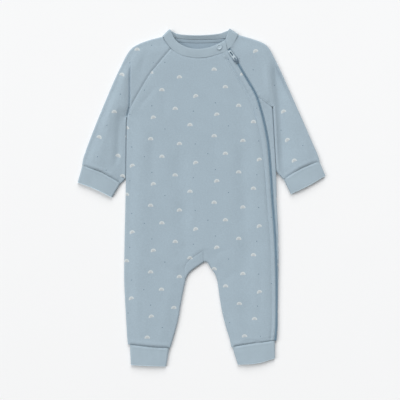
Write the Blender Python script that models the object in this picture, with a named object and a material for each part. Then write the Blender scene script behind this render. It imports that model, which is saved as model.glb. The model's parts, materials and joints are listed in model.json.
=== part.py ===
"""A footless baby sleepsuit, laid flat on its back with its zip closed.

Every length is in millimetres on the laid garment until the meshes are made: X runs to the viewer's right
(the wearer's left), Y towards the neck, and Z up from the surface that the garment lies on. Cloth is a wall
of one thickness. Its upper layer follows the height of the garment over the surface, its lower layer is flat,
and both turn round the folded edges. Each cut piece is a net of points between its own seam lines.
"""

import math
from collections.abc import Callable
from dataclasses import dataclass

import bmesh
import bpy
import numpy as np
from mathutils import Matrix, Vector

MM = 0.001
SHARP_EDGE = math.radians(50.0)

# Cloth.
CLOTH = 2.0  # wall of the knit
SEAM_GAP = 0.3  # between two pieces sewn together
EDGE_RADIUS = 3.0  # a folded edge of the body, outside
TUCKED_RADIUS = 2.4  # a sleeve's folded edge where it lies against the body
MIDDLE_HEIGHT = 7.8  # of both layers and the air between them, away from the edges
CROWN_RUN = 24.0  # from a folded edge to the full height
SLIT_GAP = 0.5  # between the body's side and the sleeve beside it
SHOULDER_GAP = 0.6  # between a sleeve and the neckband where both fold
ARMPIT_WAY = (0.35, 0.94)  # a sleeve's cloth leaves the armpit this way, away from the body
FOLD_FADE = 14.0  # a crease dies out this near to a folded edge
EDGE_GAP_DEG = 4.0  # half the side seam's gap, as an angle round the folded edge
HALF_TURN_DEG = 45.0  # halfway round a folded edge, where its cloth has one more row of points
QUARTER_TURN = EDGE_RADIUS * math.pi / 2  # over the body's folded edge, from its tip to its top

# Nets.
CROTCH_Y = -141.0  # the legs part here
LOWER_ROWS = 15  # from there to the armpit
UPPER_ROWS = 12  # from the armpit to the neck
LEG_ROWS = 8
LEG_COLUMNS = 9
ARCH_COLUMNS = 8
GUSSET_ROWS = 1
BACK_LEG_COLUMNS = 4
BACK_ARCH_COLUMNS = 4
SLEEVE_ROWS = 9  # from the armpit to where the sleeve leaves the body's side
WRIST_ROWS = 2
SLEEVE_COLUMNS = 5
RAGLAN_RIGHT_ROWS = 3  # along the top of the strip beside the zip
STRIP_COLUMNS = 5  # of that strip above the fold
CUFF_LINE_SPANS = 24
BAND_FRONT_SPANS = 24
BAND_BACK_SPANS = 20
BAND_RIGHT_SPANS = 6
NECK_TAPE_SPANS = 18
NECK_WAY_SHARES = (1.0, 0.6, 0.25)  # a sleeve's first rows lean this much towards the neck seam
CUFF_ROWS = 3
CUFF_COLUMNS = 8

# Zip.
ZIP_WIDTH = 5.0  # between the two edges of cloth
TAPE_WIDTH = 1.2
TAPE_SINK = 0.7  # below the cloth's face
TAPE_WALL = 1.1
COIL_SINK = 0.3
COIL_WALL = 1.5
COIL_CROWN = 0.2
SIDE_STRIP_UNDER = 12.0  # the strip beside the zip reaches this far under the body
ZIP_NEAR_EDGE = 12.0  # closer than this to the body's side, lines beside the zip turn round the fold
ZIP_NEAR_EDGE_BELOW_Y = 141.0

# Neckband.
BAND_WALL = 2.2
BAND_FRONT_Z = 7.0  # middle of the wall at the front seam
BAND_FRONT_RISE = 0.4  # more at its free edge
BAND_BACK_Z = 1.1
BAND_BACK_RISE = 8.4  # the back band stands up towards its free edge
BAND_RISE_POWER = 0.75
BAND_CROWN = 0.25
BAND_CLEAR = 1.0  # the back seam's own points start this far in from the shoulder folds
BAND_COLUMNS = 3
NECK_TAPE_FROM = -47.0
NECK_TAPE_TO = 41.0
NECK_TAPE_BELOW = 0.4
NECK_TAPE_WIDTH = 5.4
NECK_TAPE_WALL = 1.0

# Outlines of the body: folded edges and seams, each a smooth line through its rows of (x, y).
LEFT_SIDE = (
    (-134.5, 141.3),
    (-135.3, 85.0),
    (-135.9, 35.0),
    (-136.8, -15.0),
    (-138.2, -76.5),
    (-139.0, -139.5),
    (-137.7, -177.0),
    (-135.9, -210.0),
    (-134.1, -242.0),
    (-132.3, -264.0),
)
RIGHT_SIDE = (
    (127.8, 161.0),
    (129.6, 130.5),
    (132.1, 82.0),
    (134.4, 40.5),
    (135.3, -6.0),
    (137.6, -58.5),
    (138.6, -112.5),
    (137.9, -166.5),
    (137.4, -204.0),
    (137.2, -236.0),
    (135.4, -256.5),
)
CROTCH_ARCH = (
    (-28.0, -146.2),
    (-22.5, -135.7),
    (-12.6, -127.4),
    (-3.0, -121.0),
    (8.2, -115.2),
    (15.5, -125.0),
    (24.2, -137.5),
    (28.8, -150.3),
)
LEFT_INSEAM = (
    (-28.0, -146.2),
    (-32.4, -166.5),
    (-36.9, -190.0),
    (-41.4, -217.0),
    (-47.7, -242.0),
    (-56.2, -270.5),
)
RIGHT_INSEAM = (
    (28.8, -150.3),
    (33.3, -182.7),
    (37.8, -208.0),
    (44.1, -233.0),
    (50.4, -253.0),
    (53.8, -269.0),
)
LEFT_HEM = ((-132.3, -264.0), (-107.0, -266.6), (-81.0, -269.0), (-56.2, -270.5))
RIGHT_HEM = ((53.8, -269.0), (80.0, -263.6), (107.0, -260.0), (135.4, -256.5))
NECK_FRONT = (
    (-69.9, 289.2),
    (-62.6, 278.0),
    (-54.9, 268.2),
    (-45.2, 260.5),
    (-33.3, 255.2),
    (-16.7, 251.6),
    (-1.8, 250.9),
    (13.1, 252.7),
    (27.9, 256.9),
    (40.0, 261.2),
    (49.0, 266.3),
)
NECK_FRONT_RIGHT = ((54.4, 270.6), (60.0, 280.8), (66.0, 292.5))
NECK_BACK = (
    (-69.9, 289.2),
    (-58.0, 288.4),
    (-47.3, 287.0),
    (-36.2, 285.2),
    (-9.4, 283.7),
    (20.5, 284.4),
    (41.4, 286.2),
    (54.0, 289.2),
    (66.0, 292.5),
)
RAGLAN_LEFT = (
    (-134.5, 141.3),
    (-131.0, 155.0),
    (-122.4, 172.6),
    (-108.9, 196.2),
    (-93.1, 222.0),
    (-74.7, 244.8),
    (-54.9, 268.2),
)
RAGLAN_RIGHT_TOP_Y = 179.6  # where the strip beside the zip starts, on the zip
RAGLAN_BACK_LEFT = (
    (-134.5, 141.3),
    (-131.0, 155.0),
    (-121.0, 180.0),
    (-102.0, 217.0),
    (-77.0, 254.0),
    (-47.3, 287.0),
)
RAGLAN_BACK_RIGHT = (
    (127.8, 161.0),
    (119.5, 178.0),
    (107.0, 200.0),
    (86.0, 233.0),
    (66.0, 261.0),
    (41.4, 286.2),
)
ZIP_LINE = (
    (49.5, 267.0),
    (56.7, 254.9),
    (66.0, 239.8),
    (75.8, 223.0),
    (85.0, 207.6),
    (93.2, 193.5),
    (99.8, 180.0),
    (104.6, 165.0),
    (109.6, 147.0),
    (115.6, 121.0),
    (120.4, 91.8),
    (124.2, 47.7),
    (127.6, -6.0),
    (131.0, -50.0),
    (133.6, -97.7),
    (134.9, -152.8),
    (135.2, -204.0),
    (134.4, -236.0),
    (132.6, -257.0),
)

# Outlines of the sleeves: the outer fold from the neck down, the points where it passes the armpit and leaves
# the body's side, and the wrist seam.
SLEEVE_LEFT_OUTER = (
    (-69.9, 289.2),
    (-92.7, 283.3),
    (-112.5, 276.0),
    (-126.0, 267.6),
    (-135.9, 253.8),
    (-144.4, 236.5),
    (-156.6, 211.0),
    (-171.9, 175.2),
    (-186.3, 140.5),
    (-200.7, 104.0),
    (-211.5, 74.0),
    (-214.8, 58.3),
)
SLEEVE_RIGHT_OUTER = (
    (66.0, 292.5),
    (87.3, 286.2),
    (101.5, 281.6),
    (114.3, 275.4),
    (122.6, 266.2),
    (131.5, 249.5),
    (143.1, 226.0),
    (157.5, 193.6),
    (171.9, 161.0),
    (185.5, 130.5),
    (198.0, 101.5),
    (208.2, 78.5),
    (212.6, 65.5),
)
SLEEVE_LEFT_AT_ARMPIT_Y = 159.0
SLEEVE_RIGHT_AT_ARMPIT_Y = 178.0
SLEEVE_LEFT_AT_LEAVES_Y = 67.5
SLEEVE_RIGHT_AT_LEAVES_Y = 77.0
SLEEVE_LEFT_LEAVES = (-136.3, 34.2)
SLEEVE_RIGHT_LEAVES = (135.7, 45.0)
WRIST_LEFT = ((-214.8, 58.3), (-180.0, 46.4), (-144.9, 25.2))
WRIST_RIGHT = ((212.6, 65.5), (181.2, 54.0), (146.7, 32.6))

# Cuffs: the free end of each, from its outer to its inner corner, and how much narrower each starts.
WRIST_LEFT_END = ((-222.9, 26.8), (-192.5, 15.4), (-161.1, 0.0))
WRIST_RIGHT_END = ((222.9, 39.0), (191.5, 20.8), (160.6, 5.9))
ANKLE_LEFT_END = ((-126.9, -301.2), (-96.0, -302.6), (-63.4, -303.6))
ANKLE_RIGHT_END = ((132.3, -289.0), (99.7, -298.2), (65.3, -300.4))
CUFF_CROWN = 0.8
CUFF_CROWN_RUN = 14.0
ANKLE_TAKE_IN_OUTER = 3.6
ANKLE_TAKE_IN_INNER = 1.6
WRIST_TAKE_IN = 0.8

# Neckband: its free edge, and where it folds at the shoulders.
BAND_FREE_FRONT = (
    (42.4, 282.8),
    (36.0, 279.2),
    (27.9, 275.2),
    (18.0, 271.0),
    (5.6, 268.0),
    (-9.4, 267.0),
    (-24.3, 269.5),
    (-36.2, 274.7),
    (-45.2, 281.5),
    (-51.1, 289.6),
    (-54.6, 299.9),
)
BAND_FREE_BACK = (
    (-54.6, 299.9),
    (-45.2, 294.8),
    (-33.3, 292.7),
    (-9.4, 291.6),
    (13.1, 292.5),
    (32.6, 294.8),
    (42.0, 298.2),
    (47.6, 300.8),
)
BAND_FREE_RIGHT = ((47.6, 300.8), (46.8, 292.5), (43.0, 283.8))
BAND_OVER_ZIP = ((51.1, 268.9), (47.1, 266.4))  # the seam of its other end passes over the zip's top
BAND_END_X = 46.5  # the front end meets it here, beside the top of the zip
SHOULDER_FOLD_LEFT = ((-69.9, 289.2), (-57.0, 302.2))
SHOULDER_FOLD_RIGHT = ((66.0, 292.5), (50.0, 303.2))

# Zip hardware and snap.
CORNER_STEPS = 4
SLIDER_AT = 23.5  # its middle, down the zip from the top
SLIDER_TURN_DEG = 4.0  # it leans this much off the zip's line
SLIDER_HALF = ((6.3, 0.0), (5.7, 2.4), (4.1, 4.3), (0.5, 4.1), (-5.1, 3.1), (-6.3, 1.9))  # one side
SLIDER_PLATE = 1.6
SLIDER_LIFT = 0.3
BRIDGE_LENGTH = 7.2
BRIDGE_WIDTH = 2.2
BRIDGE_POST = 1.4
WINDOW_HEIGHT = 1.9
BRIDGE_BAR = 0.9
BRIDGE_ROOT = 0.5  # sunk into the plate
BRIDGE_CORNER = 0.8
WINDOW_CORNER = 0.4
PULL_LENGTH = 20.5
PULL_WIDTH = 5.4
PULL_CORNER = 1.4
PULL_WALL = 1.0
PULL_BAR = 0.55  # half the length of its cross bar
PULL_EYE_LENGTH = 4.5
PULL_EYE_WIDTH = 3.0
PULL_EYE_CORNER = 0.5
PULL_HOLLOW_START = 9.0
PULL_HOLLOW_END = 18.0
PULL_HOLLOW_WIDTH = 2.6
PULL_HOLLOW_CORNER = 1.25
PULL_DROOP_DEG = 3.0
SNAP_AT = (32.0, 269.8)
SNAP_PROFILE = ((5.0, 0.0), (5.0, 0.9), (4.5, 1.5), (3.5, 1.5), (2.9, 0.8), (1.4, 0.7))  # radius, height
SNAP_SIDES = 24
SNAP_LIFT = 0.1

# The middle of the whole garment's outline, which becomes the origin.
ORIGIN_X = 0.0
ORIGIN_Y = 0.257


@dataclass(frozen=True)
class Crease:
    """A soft trough in the upper layer: a path over the body, its half width and its depth."""

    path: tuple
    half_width: float
    depth: float


CREASES = (
    Crease(((-57.0, 130.0), (-47.0, 60.0), (-43.0, 0.0), (-40.0, -90.0), (-42.0, -190.0)), 13.0, 2.6),
    Crease(((62.0, 176.0), (66.0, 60.0), (70.0, -60.0), (73.0, -236.0)), 13.0, 2.3),
    Crease(((12.0, -20.0), (44.0, -66.0), (80.0, -124.0)), 11.0, 1.7),
    Crease(((-72.0, 196.0), (-66.0, 165.0), (-63.0, 136.0)), 10.0, 1.3),
    Crease(((-98.0, 120.0), (-99.0, 75.0), (-96.0, 20.0)), 11.0, 1.2),
    Crease(((-123.0, 250.0), (-127.0, 194.0), (-132.0, 150.0)), 7.5, 2.6),
    Crease(((119.7, 250.0), (130.5, 194.0), (136.0, 150.0), (146.0, 88.0), (152.0, 50.0)), 11.0, 2.2),
)


def smooth_line(points: tuple, steps: int = 12) -> np.ndarray:
    """Many points on a smooth line through those of a table."""
    p = np.array(points, float)
    ends = np.vstack((2 * p[0] - p[1], p, 2 * p[-1] - p[-2]))
    t = np.linspace(0.0, 1.0, steps, endpoint=False)[:, None]
    spans = []
    for a, b, c, d in zip(ends, ends[1:], ends[2:], ends[3:]):
        curve = (c - a) * t + (2 * a - 5 * b + 4 * c - d) * t**2 + (3 * b - a - 3 * c + d) * t**3
        spans.append(b + 0.5 * curve)
    return np.vstack((*spans, p[-1:]))


def lengths(line: np.ndarray) -> np.ndarray:
    """The distance along a line to each of its points."""
    steps = np.linalg.norm(np.diff(line, axis=0), axis=1)
    return np.concatenate(([0.0], np.cumsum(steps)))


def along(line: np.ndarray, fractions: np.ndarray) -> np.ndarray:
    """Points at fractions of a line's length."""
    run = lengths(line)
    at = np.asarray(fractions) * run[-1]
    return np.column_stack([np.interp(at, run, axis) for axis in line.T])


def even(line: np.ndarray, spans: int) -> np.ndarray:
    """Evenly spaced points along a line, both ends included."""
    return along(line, np.linspace(0.0, 1.0, spans + 1))


def at_y(line: np.ndarray, y: float) -> float:
    """The fraction of a line's length where it passes a height y."""
    order = np.argsort(line[:, 1])
    run = lengths(line)
    return float(np.interp(y, line[order, 1], run[order]) / run[-1])


def between(line: np.ndarray, start: float, end: float, spans: int) -> np.ndarray:
    """Evenly spaced points from one fraction of a line to another."""
    return along(line, np.linspace(start, end, spans + 1))


def left_normals(line: np.ndarray) -> np.ndarray:
    """Unit vectors to the left of the way along a line, at each point."""
    way = np.gradient(line, axis=0)
    way /= np.linalg.norm(way, axis=1, keepdims=True)
    return np.column_stack((-way[:, 1], way[:, 0]))


def moved(line: np.ndarray, distance: float) -> np.ndarray:
    """A line moved to its left."""
    return line + left_normals(line) * distance


def ease(t: np.ndarray) -> np.ndarray:
    """A smooth step from 0 to 1."""
    t = np.clip(t, 0.0, 1.0)
    return t * t * (3.0 - 2.0 * t)


def over_edge(distance: np.ndarray) -> np.ndarray:
    """How far it is over the cloth to the tip of a folded edge, from a distance in the plan."""
    lean = np.arccos(np.clip(1.0 - distance / EDGE_RADIUS, 0.0, 1.0))
    return np.where(distance < EDGE_RADIUS, EDGE_RADIUS * lean, distance - EDGE_RADIUS + QUARTER_TURN)


def nearest_on(line: np.ndarray, plan: np.ndarray) -> tuple[np.ndarray, np.ndarray]:
    """The nearest point of a line to each point of the plan, and the fraction of the line before it."""
    start, step = line[:-1], np.diff(line, axis=0)
    square = np.maximum((step**2).sum(axis=1), 1e-12)
    t = np.clip(((plan[:, None, :] - start) * step).sum(axis=2) / square, 0.0, 1.0)
    feet = start + t[..., None] * step
    best = ((plan[:, None, :] - feet) ** 2).sum(axis=2).argmin(axis=1)
    rows = np.arange(len(plan))
    run = lengths(line)
    at = (run[:-1][best] + t[rows, best] * np.diff(run)[best]) / run[-1]
    return feet[rows, best], at


@dataclass(frozen=True)
class FoldedEdge:
    """A line in the plan where the cloth turns under, with the radius it turns round."""

    line: np.ndarray
    radius: float


class Garment:
    """The laid garment's lines, and the height of its cloth over every point of the plan."""

    def __init__(self) -> None:
        self.left_side = smooth_line(LEFT_SIDE)
        self.right_side = smooth_line(RIGHT_SIDE)
        self.arch = smooth_line(CROTCH_ARCH)
        self.left_inseam = smooth_line(LEFT_INSEAM)
        self.right_inseam = smooth_line(RIGHT_INSEAM)
        self.zip = smooth_line(ZIP_LINE)
        self.left_sleeve_outer = smooth_line(SLEEVE_LEFT_OUTER)
        self.right_sleeve_outer = smooth_line(SLEEVE_RIGHT_OUTER)
        self.left_sleeve_inner = self.sleeve_inner(self.left_side, SLEEVE_LEFT_LEAVES, -SLIT_GAP)
        self.right_sleeve_inner = self.sleeve_inner(self.right_side, SLEEVE_RIGHT_LEAVES, SLIT_GAP)
        body = (self.left_side, self.right_side, self.arch, self.left_inseam, self.right_inseam)
        self.edges = [FoldedEdge(line, EDGE_RADIUS) for line in body]
        self.edges.append(FoldedEdge(self.left_sleeve_outer, EDGE_RADIUS))
        self.edges.append(FoldedEdge(self.right_sleeve_outer, EDGE_RADIUS))
        wrist_left = np.vstack((self.left_sleeve_inner, WRIST_LEFT[-1]))
        wrist_right = np.vstack((self.right_sleeve_inner, WRIST_RIGHT[-1]))
        self.edges.append(FoldedEdge(wrist_left, TUCKED_RADIUS))
        self.edges.append(FoldedEdge(wrist_right, TUCKED_RADIUS))

    @staticmethod
    def sleeve_inner(side: np.ndarray, leaves: tuple, gap: float) -> np.ndarray:
        """A sleeve's inner fold, beside the body from the armpit to where the sleeve leaves it."""
        beside = side[side[:, 1] > leaves[1]].copy()
        beside[1:, 0] += gap
        beside[0] += (math.copysign(SEAM_GAP, gap), SEAM_GAP / 2)
        return np.vstack((beside, leaves))

    def near_edge(self, plan: np.ndarray) -> tuple[np.ndarray, np.ndarray, np.ndarray]:
        """For each point, its distance from the nearest folded edge, the way from it, and its radius."""
        distance = np.full(len(plan), np.inf)
        way = np.zeros_like(plan)
        radius = np.full(len(plan), EDGE_RADIUS)
        for edge in self.edges:
            foot, _ = nearest_on(edge.line, plan)
            offset = plan - foot
            apart = np.linalg.norm(offset, axis=1)
            closer = apart < distance - 1e-6
            distance[closer] = apart[closer]
            way[closer] = offset[closer] / np.maximum(apart[closer], 1e-9)[:, None]
            radius[closer] = edge.radius
        return distance, way, radius

    @staticmethod
    def crease_depth(plan: np.ndarray) -> np.ndarray:
        """How deep the creases are at each point. Each is soft across and dies out towards its ends."""
        depth = np.zeros(len(plan))
        for crease in CREASES:
            foot, at = nearest_on(smooth_line(crease.path), plan)
            across = np.linalg.norm(plan - foot, axis=1) / crease.half_width
            depth += crease.depth * np.exp(-2.0 * across**2) * np.sin(np.pi * np.clip(at, 0.02, 0.98)) ** 0.6
        return depth

    def upper(self, plan: np.ndarray) -> tuple[np.ndarray, np.ndarray]:
        """The outer and inner face of the upper layer over points of the plan."""
        shape = plan.shape[:-1]
        flat = plan.reshape(-1, 2)
        distance, way, radius = self.near_edge(flat)
        rise = ease((distance - radius) / CROWN_RUN)
        z = 2 * radius + (MIDDLE_HEIGHT - 2 * radius) * rise
        z -= self.crease_depth(flat) * ease((distance - radius) / FOLD_FADE)
        outer = np.column_stack((flat, z))
        inner = np.column_stack((flat, z - CLOTH))
        turning = distance < radius
        lean = np.arccos(np.clip(1.0 - distance / radius, 0.0, 1.0))
        middle = flat + way * (radius - distance)[:, None]
        for face, size in ((outer, radius), (inner, radius - CLOTH)):
            face[turning, :2] = (middle - way * (size * np.cos(lean))[:, None])[turning]
            face[turning, 2] = (radius + size * np.sin(lean))[turning]
        return outer.reshape(*shape, 3), inner.reshape(*shape, 3)

    @staticmethod
    def lower(plan: np.ndarray) -> tuple[np.ndarray, np.ndarray]:
        """The outer and inner face of the lower layer, which lies flat."""
        rest = np.zeros((*plan.shape[:-1], 1))
        return np.concatenate((plan, rest), axis=-1), np.concatenate((plan, rest + CLOTH), axis=-1)

    def beside_zip(self, line: np.ndarray, distance: float) -> np.ndarray:
        """A line on the cloth beside the zip, measured over the folded edge where that is near."""
        straight = moved(line, distance)
        order = np.argsort(self.right_side[:, 1])
        edge_x = np.interp(line[:, 1], self.right_side[order, 1], self.right_side[order, 0])
        from_edge = edge_x - line[:, 0]
        run = over_edge(from_edge) - distance
        turned = EDGE_RADIUS * (1.0 - np.cos(np.clip(run, 0.0, QUARTER_TURN) / EDGE_RADIUS))
        back = np.where(run < QUARTER_TURN, turned, run - QUARTER_TURN + EDGE_RADIUS)
        near = (from_edge < ZIP_NEAR_EDGE) & (line[:, 1] < ZIP_NEAR_EDGE_BELOW_Y)
        straight[near, 0] = (edge_x - back)[near]
        straight[near, 1] = line[near, 1]
        return straight


class Wall:
    """A closed wall of cloth, from nets of points on its outer face with their partners on the inner one."""

    def __init__(self) -> None:
        self.numbers: dict[tuple, int] = {}
        self.outer: list[np.ndarray] = []
        self.inner: list[np.ndarray] = []
        self.faces: list[tuple] = []

    def number(self, outer: np.ndarray, inner: np.ndarray) -> int:
        """The number of a point, which nets that meet there share."""
        key = tuple(np.round(outer, 3))
        if key not in self.numbers:
            self.numbers[key] = len(self.outer)
            self.outer.append(outer)
            self.inner.append(inner)
        return self.numbers[key]

    def add(self, faces_of: tuple[np.ndarray, np.ndarray]) -> None:
        """Takes a net in: its rows and columns of outer and inner points."""
        outer, inner = faces_of
        rows, columns = outer.shape[:2]
        net = [[self.number(outer[i, j], inner[i, j]) for j in range(columns)] for i in range(rows)]
        for i in range(rows - 1):
            for j in range(columns - 1):
                corners = (net[i][j], net[i][j + 1], net[i + 1][j + 1], net[i + 1][j])
                face = tuple(dict.fromkeys(corners))
                if len(face) > 2:
                    self.faces.append(face)

    def mesh(self, name: str) -> bpy.types.Mesh:
        """The closed mesh: both faces, and a rim between them round every free edge."""
        count = len(self.outer)
        faces = list(self.faces)
        faces += [tuple(count + n for n in reversed(face)) for face in self.faces]
        sides: dict[frozenset, list] = {}
        for face in self.faces:
            for a, b in zip(face, face[1:] + face[:1]):
                sides.setdefault(frozenset((a, b)), []).append((a, b))
        for uses in sides.values():
            if len(uses) == 1:
                a, b = uses[0]
                faces.append((b, a, count + a, count + b))
        points = np.vstack((self.outer, self.inner)) - (ORIGIN_X, ORIGIN_Y, 0.0)
        return mesh_of(name, points, faces)


def mesh_of(name: str, points: np.ndarray, faces: list) -> bpy.types.Mesh:
    """A mesh in metres from points in millimetres, with its faces pointing out."""
    mesh = bpy.data.meshes.new(name)
    mesh.from_pydata((np.asarray(points) * MM).tolist(), [], faces)
    bm = bmesh.new()
    bm.from_mesh(mesh)
    bmesh.ops.recalc_face_normals(bm, faces=bm.faces)
    bm.to_mesh(mesh)
    bm.free()
    return mesh


def net(low: np.ndarray, high: np.ndarray, left: np.ndarray, right: np.ndarray) -> np.ndarray:
    """Rows and columns of points between four lines that share their corners.

    The low and high lines have a point for each column, the left and right ones a point for each row.
    """
    u = (lengths(low) / lengths(low)[-1])[None, :, None]
    v = (lengths(left) / lengths(left)[-1])[:, None, None]
    across = (1 - v) * low[None] + v * high[None]
    up = (1 - u) * left[:, None] + u * right[:, None]
    corners = (1 - v) * ((1 - u) * low[0] + u * low[-1]) + v * ((1 - u) * high[0] + u * high[-1])
    return across + up - corners


def turn(feet: np.ndarray, ways: np.ndarray, radius: float, degrees: tuple) -> tuple[np.ndarray, np.ndarray]:
    """Outer and inner points round a folded edge: a row for each foot on it, a column for each angle."""
    angles = np.radians(degrees)[None, :, None]
    feet, ways = feet[:, None, :], ways[:, None, :]
    faces = []
    for size in (radius, radius - CLOTH):
        plan = feet + ways * (radius - size * np.cos(angles))
        z = np.broadcast_to(radius + size * np.sin(angles), (*plan.shape[:2], 1))
        faces.append(np.concatenate((plan, z), axis=2))
    return faces[0], faces[1]


def joined(turned: tuple, last: tuple) -> tuple[np.ndarray, np.ndarray]:
    """A turned edge with the line of the net that it runs into as one more column."""
    return tuple(np.concatenate((t, n[:, None, :]), axis=1) for t, n in zip(turned, last))


def column(faces_of: tuple, index: int) -> tuple[np.ndarray, np.ndarray]:
    """One column of a net's outer and inner points."""
    return faces_of[0][:, index], faces_of[1][:, index]


def row(faces_of: tuple, index: int) -> tuple[np.ndarray, np.ndarray]:
    """One row of a net's outer and inner points."""
    return faces_of[0][index], faces_of[1][index]


def part(faces_of: tuple, rows: slice, columns: slice) -> tuple[np.ndarray, np.ndarray]:
    """Some rows and columns of a net."""
    return faces_of[0][rows, columns], faces_of[1][rows, columns]


@dataclass
class Layer:
    """One layer of the body between its side seams: where its net meets the folded edges and the seams."""

    garment: Garment
    leg_columns: int
    arch_columns: int

    def side(self, line: np.ndarray, start: float, end: float, rows: int, inward: float) -> tuple:
        """Feet on a folded edge from one fraction of it to another, and the ways in from them."""
        fractions = np.linspace(start, end, rows + 1)
        ways = along_with(line, left_normals(line) * inward, fractions)
        return along(line, fractions), ways

    def arch_feet(self) -> tuple:
        """Feet round the crotch, and the ways up from them into the cloth."""
        return self.side(self.garment.arch, 0.0, 1.0, self.arch_columns, 1.0)

    def inseam_feet(self, line: np.ndarray, inward: float, corner_way: np.ndarray) -> tuple:
        """Feet from a leg's hem up its inner side to the crotch."""
        feet, ways = self.side(line, 1.0, 0.0, LEG_ROWS, inward)
        ways[-1] = corner_way
        return feet, ways

    def low_line(self, left: np.ndarray, right: np.ndarray) -> np.ndarray:
        """The trunk's lowest row: over one leg, up round the crotch and over the other leg."""
        feet, ways = self.arch_feet()
        arch = feet + ways * EDGE_RADIUS
        over_left = even(np.array((left, arch[0])), self.leg_columns)
        over_right = even(np.array((arch[-1], right)), self.leg_columns)
        return np.vstack((over_left[:-1], arch, over_right[1:]))

    def hem(self, line: tuple, left: np.ndarray, right: np.ndarray) -> np.ndarray:
        """A leg's hem between the lines at its two sides."""
        smooth = smooth_line(line)
        ends, at = nearest_on(smooth, np.array((left, right)))
        points = between(smooth, at[0], at[1], self.leg_columns)
        points[0], points[-1] = left, right
        return points


def along_with(line: np.ndarray, values: np.ndarray, fractions: np.ndarray) -> np.ndarray:
    """Values given at a line's points, read at fractions of its length."""
    run = lengths(line)
    at = np.asarray(fractions) * run[-1]
    return np.column_stack([np.interp(at, run, axis) for axis in values.T])


def raglan_rows(line: tuple, distance: float, start: float, rows: int) -> np.ndarray:
    """A raglan seam from near the armpit up to the neck, moved to one side of the stitches."""
    seam = moved(smooth_line(line), distance)
    return between(seam, start / lengths(seam)[-1], 1.0, rows)


def zip_rows(garment: Garment, distance: float) -> np.ndarray:
    """A line beside the zip from the hem to the neck, with a point for each row of the pieces it borders."""
    line = garment.zip
    hem, crotch, raglan = 1.0, at_y(line, CROTCH_Y), at_y(line, RAGLAN_RIGHT_TOP_Y)
    legs = np.linspace(hem, crotch, LEG_ROWS + 1)
    trunk = np.linspace(crotch, raglan, LOWER_ROWS + 1)[1:]
    chest = np.linspace(raglan, 0.0, UPPER_ROWS + 1)[1:]
    return along(garment.beside_zip(line, distance), np.concatenate((legs, trunk, chest)))


def side_with_raglan(layer: Layer, raglan: np.ndarray) -> tuple:
    """The left side's feet and ways from the crotch to the armpit, and the net's line beside them."""
    side = layer.garment.left_side
    feet, ways = layer.side(side, at_y(side, CROTCH_Y), 0.0, LOWER_ROWS, 1.0)
    ways[-1] = (raglan[0] - feet[-1]) / EDGE_RADIUS
    return feet, ways, np.vstack(((feet + ways * EDGE_RADIUS)[:-1], raglan))


def gusset_and_front(garment: Garment) -> tuple[Wall, Wall]:
    """The front body, from the neck to both hems, and the gusset let into it beside the crotch."""
    layer = Layer(garment, LEG_COLUMNS, ARCH_COLUMNS)
    raglan = raglan_rows(RAGLAN_LEFT, -SEAM_GAP / 2, EDGE_RADIUS, UPPER_ROWS)
    feet, ways, left = side_with_raglan(layer, raglan)
    by_zip = zip_rows(garment, -ZIP_WIDTH / 2)
    right = by_zip[LEG_ROWS:]
    low = layer.low_line(left[0], right[0])
    neck = smooth_line(NECK_FRONT)
    _, at = nearest_on(neck, np.array((left[-1], right[-1])))
    high = along(neck, at[0] + (at[1] - at[0]) * lengths(low) / lengths(low)[-1])
    high[0], high[-1] = left[-1], right[-1]
    plan = net(low, high, left, right)
    trunk = garment.upper(plan)

    front = Wall()
    edge_angles = (EDGE_GAP_DEG, HALF_TURN_DEG)
    first, middle, last = LEG_COLUMNS, LEG_COLUMNS + ARCH_COLUMNS // 2, LEG_COLUMNS + ARCH_COLUMNS
    front.add(part(trunk, slice(GUSSET_ROWS, None), slice(None)))
    front.add(part(trunk, slice(0, GUSSET_ROWS + 1), slice(0, first + 1)))
    front.add(part(trunk, slice(0, GUSSET_ROWS + 1), slice(middle, None)))
    side = column(part(trunk, slice(0, LOWER_ROWS + 1), slice(None)), 0)
    front.add(joined(turn(feet, ways, EDGE_RADIUS, edge_angles), side))
    arch_feet, arch_ways = layer.arch_feet()
    over_arch = row(part(trunk, slice(None), slice(first, last + 1)), 0)
    arch = joined(turn(arch_feet, arch_ways, EDGE_RADIUS, edge_angles), over_arch)
    front.add(part(arch, slice(ARCH_COLUMNS // 2, None), slice(None)))
    add_legs(front, layer, trunk, by_zip[: LEG_ROWS + 1], garment.upper, edge_angles)

    gusset = Wall()
    block = plan[: GUSSET_ROWS + 1, first : middle + 1]
    inset = inset_net(block, SEAM_GAP)
    inner_part = garment.upper(inset)
    gusset.add(inner_part)
    share = np.linspace(0.0, 0.5, ARCH_COLUMNS // 2 + 1)
    share[0] += SEAM_GAP / lengths(garment.arch)[-1]
    share[-1] -= SEAM_GAP / lengths(garment.arch)[-1]
    gusset_feet = along(garment.arch, share)
    gusset_ways = (inset[0] - gusset_feet) / EDGE_RADIUS
    gusset.add(joined(turn(gusset_feet, gusset_ways, EDGE_RADIUS, edge_angles), row(inner_part, 0)))
    return front, gusset


def inset_net(plan: np.ndarray, gap: float) -> np.ndarray:
    """A block of a net drawn in from its neighbours at its two sides and its top, but not at its low row."""
    rows, columns = plan.shape[:2]
    u = np.arange(columns, dtype=float)
    v = np.arange(rows, dtype=float)
    u[0] += gap / np.linalg.norm(plan[0, 1] - plan[0, 0])
    u[-1] -= gap / np.linalg.norm(plan[0, -1] - plan[0, -2])
    v[-1] -= gap / np.linalg.norm(plan[-1, 0] - plan[-2, 0])
    return np.stack([drawn_in(drawn_in(plan[..., k], u).T, v).T for k in (0, 1)], axis=-1)


def drawn_in(values: np.ndarray, places: np.ndarray) -> np.ndarray:
    """Each row of values, read at places between its columns."""
    columns = np.arange(values.shape[1])
    return np.array([np.interp(places, columns, line) for line in values])


def beside(feet_and_ways: tuple) -> np.ndarray:
    """The line beside a folded edge where its turned cloth meets the layer."""
    feet, ways = feet_and_ways
    return feet + ways * EDGE_RADIUS


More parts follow.
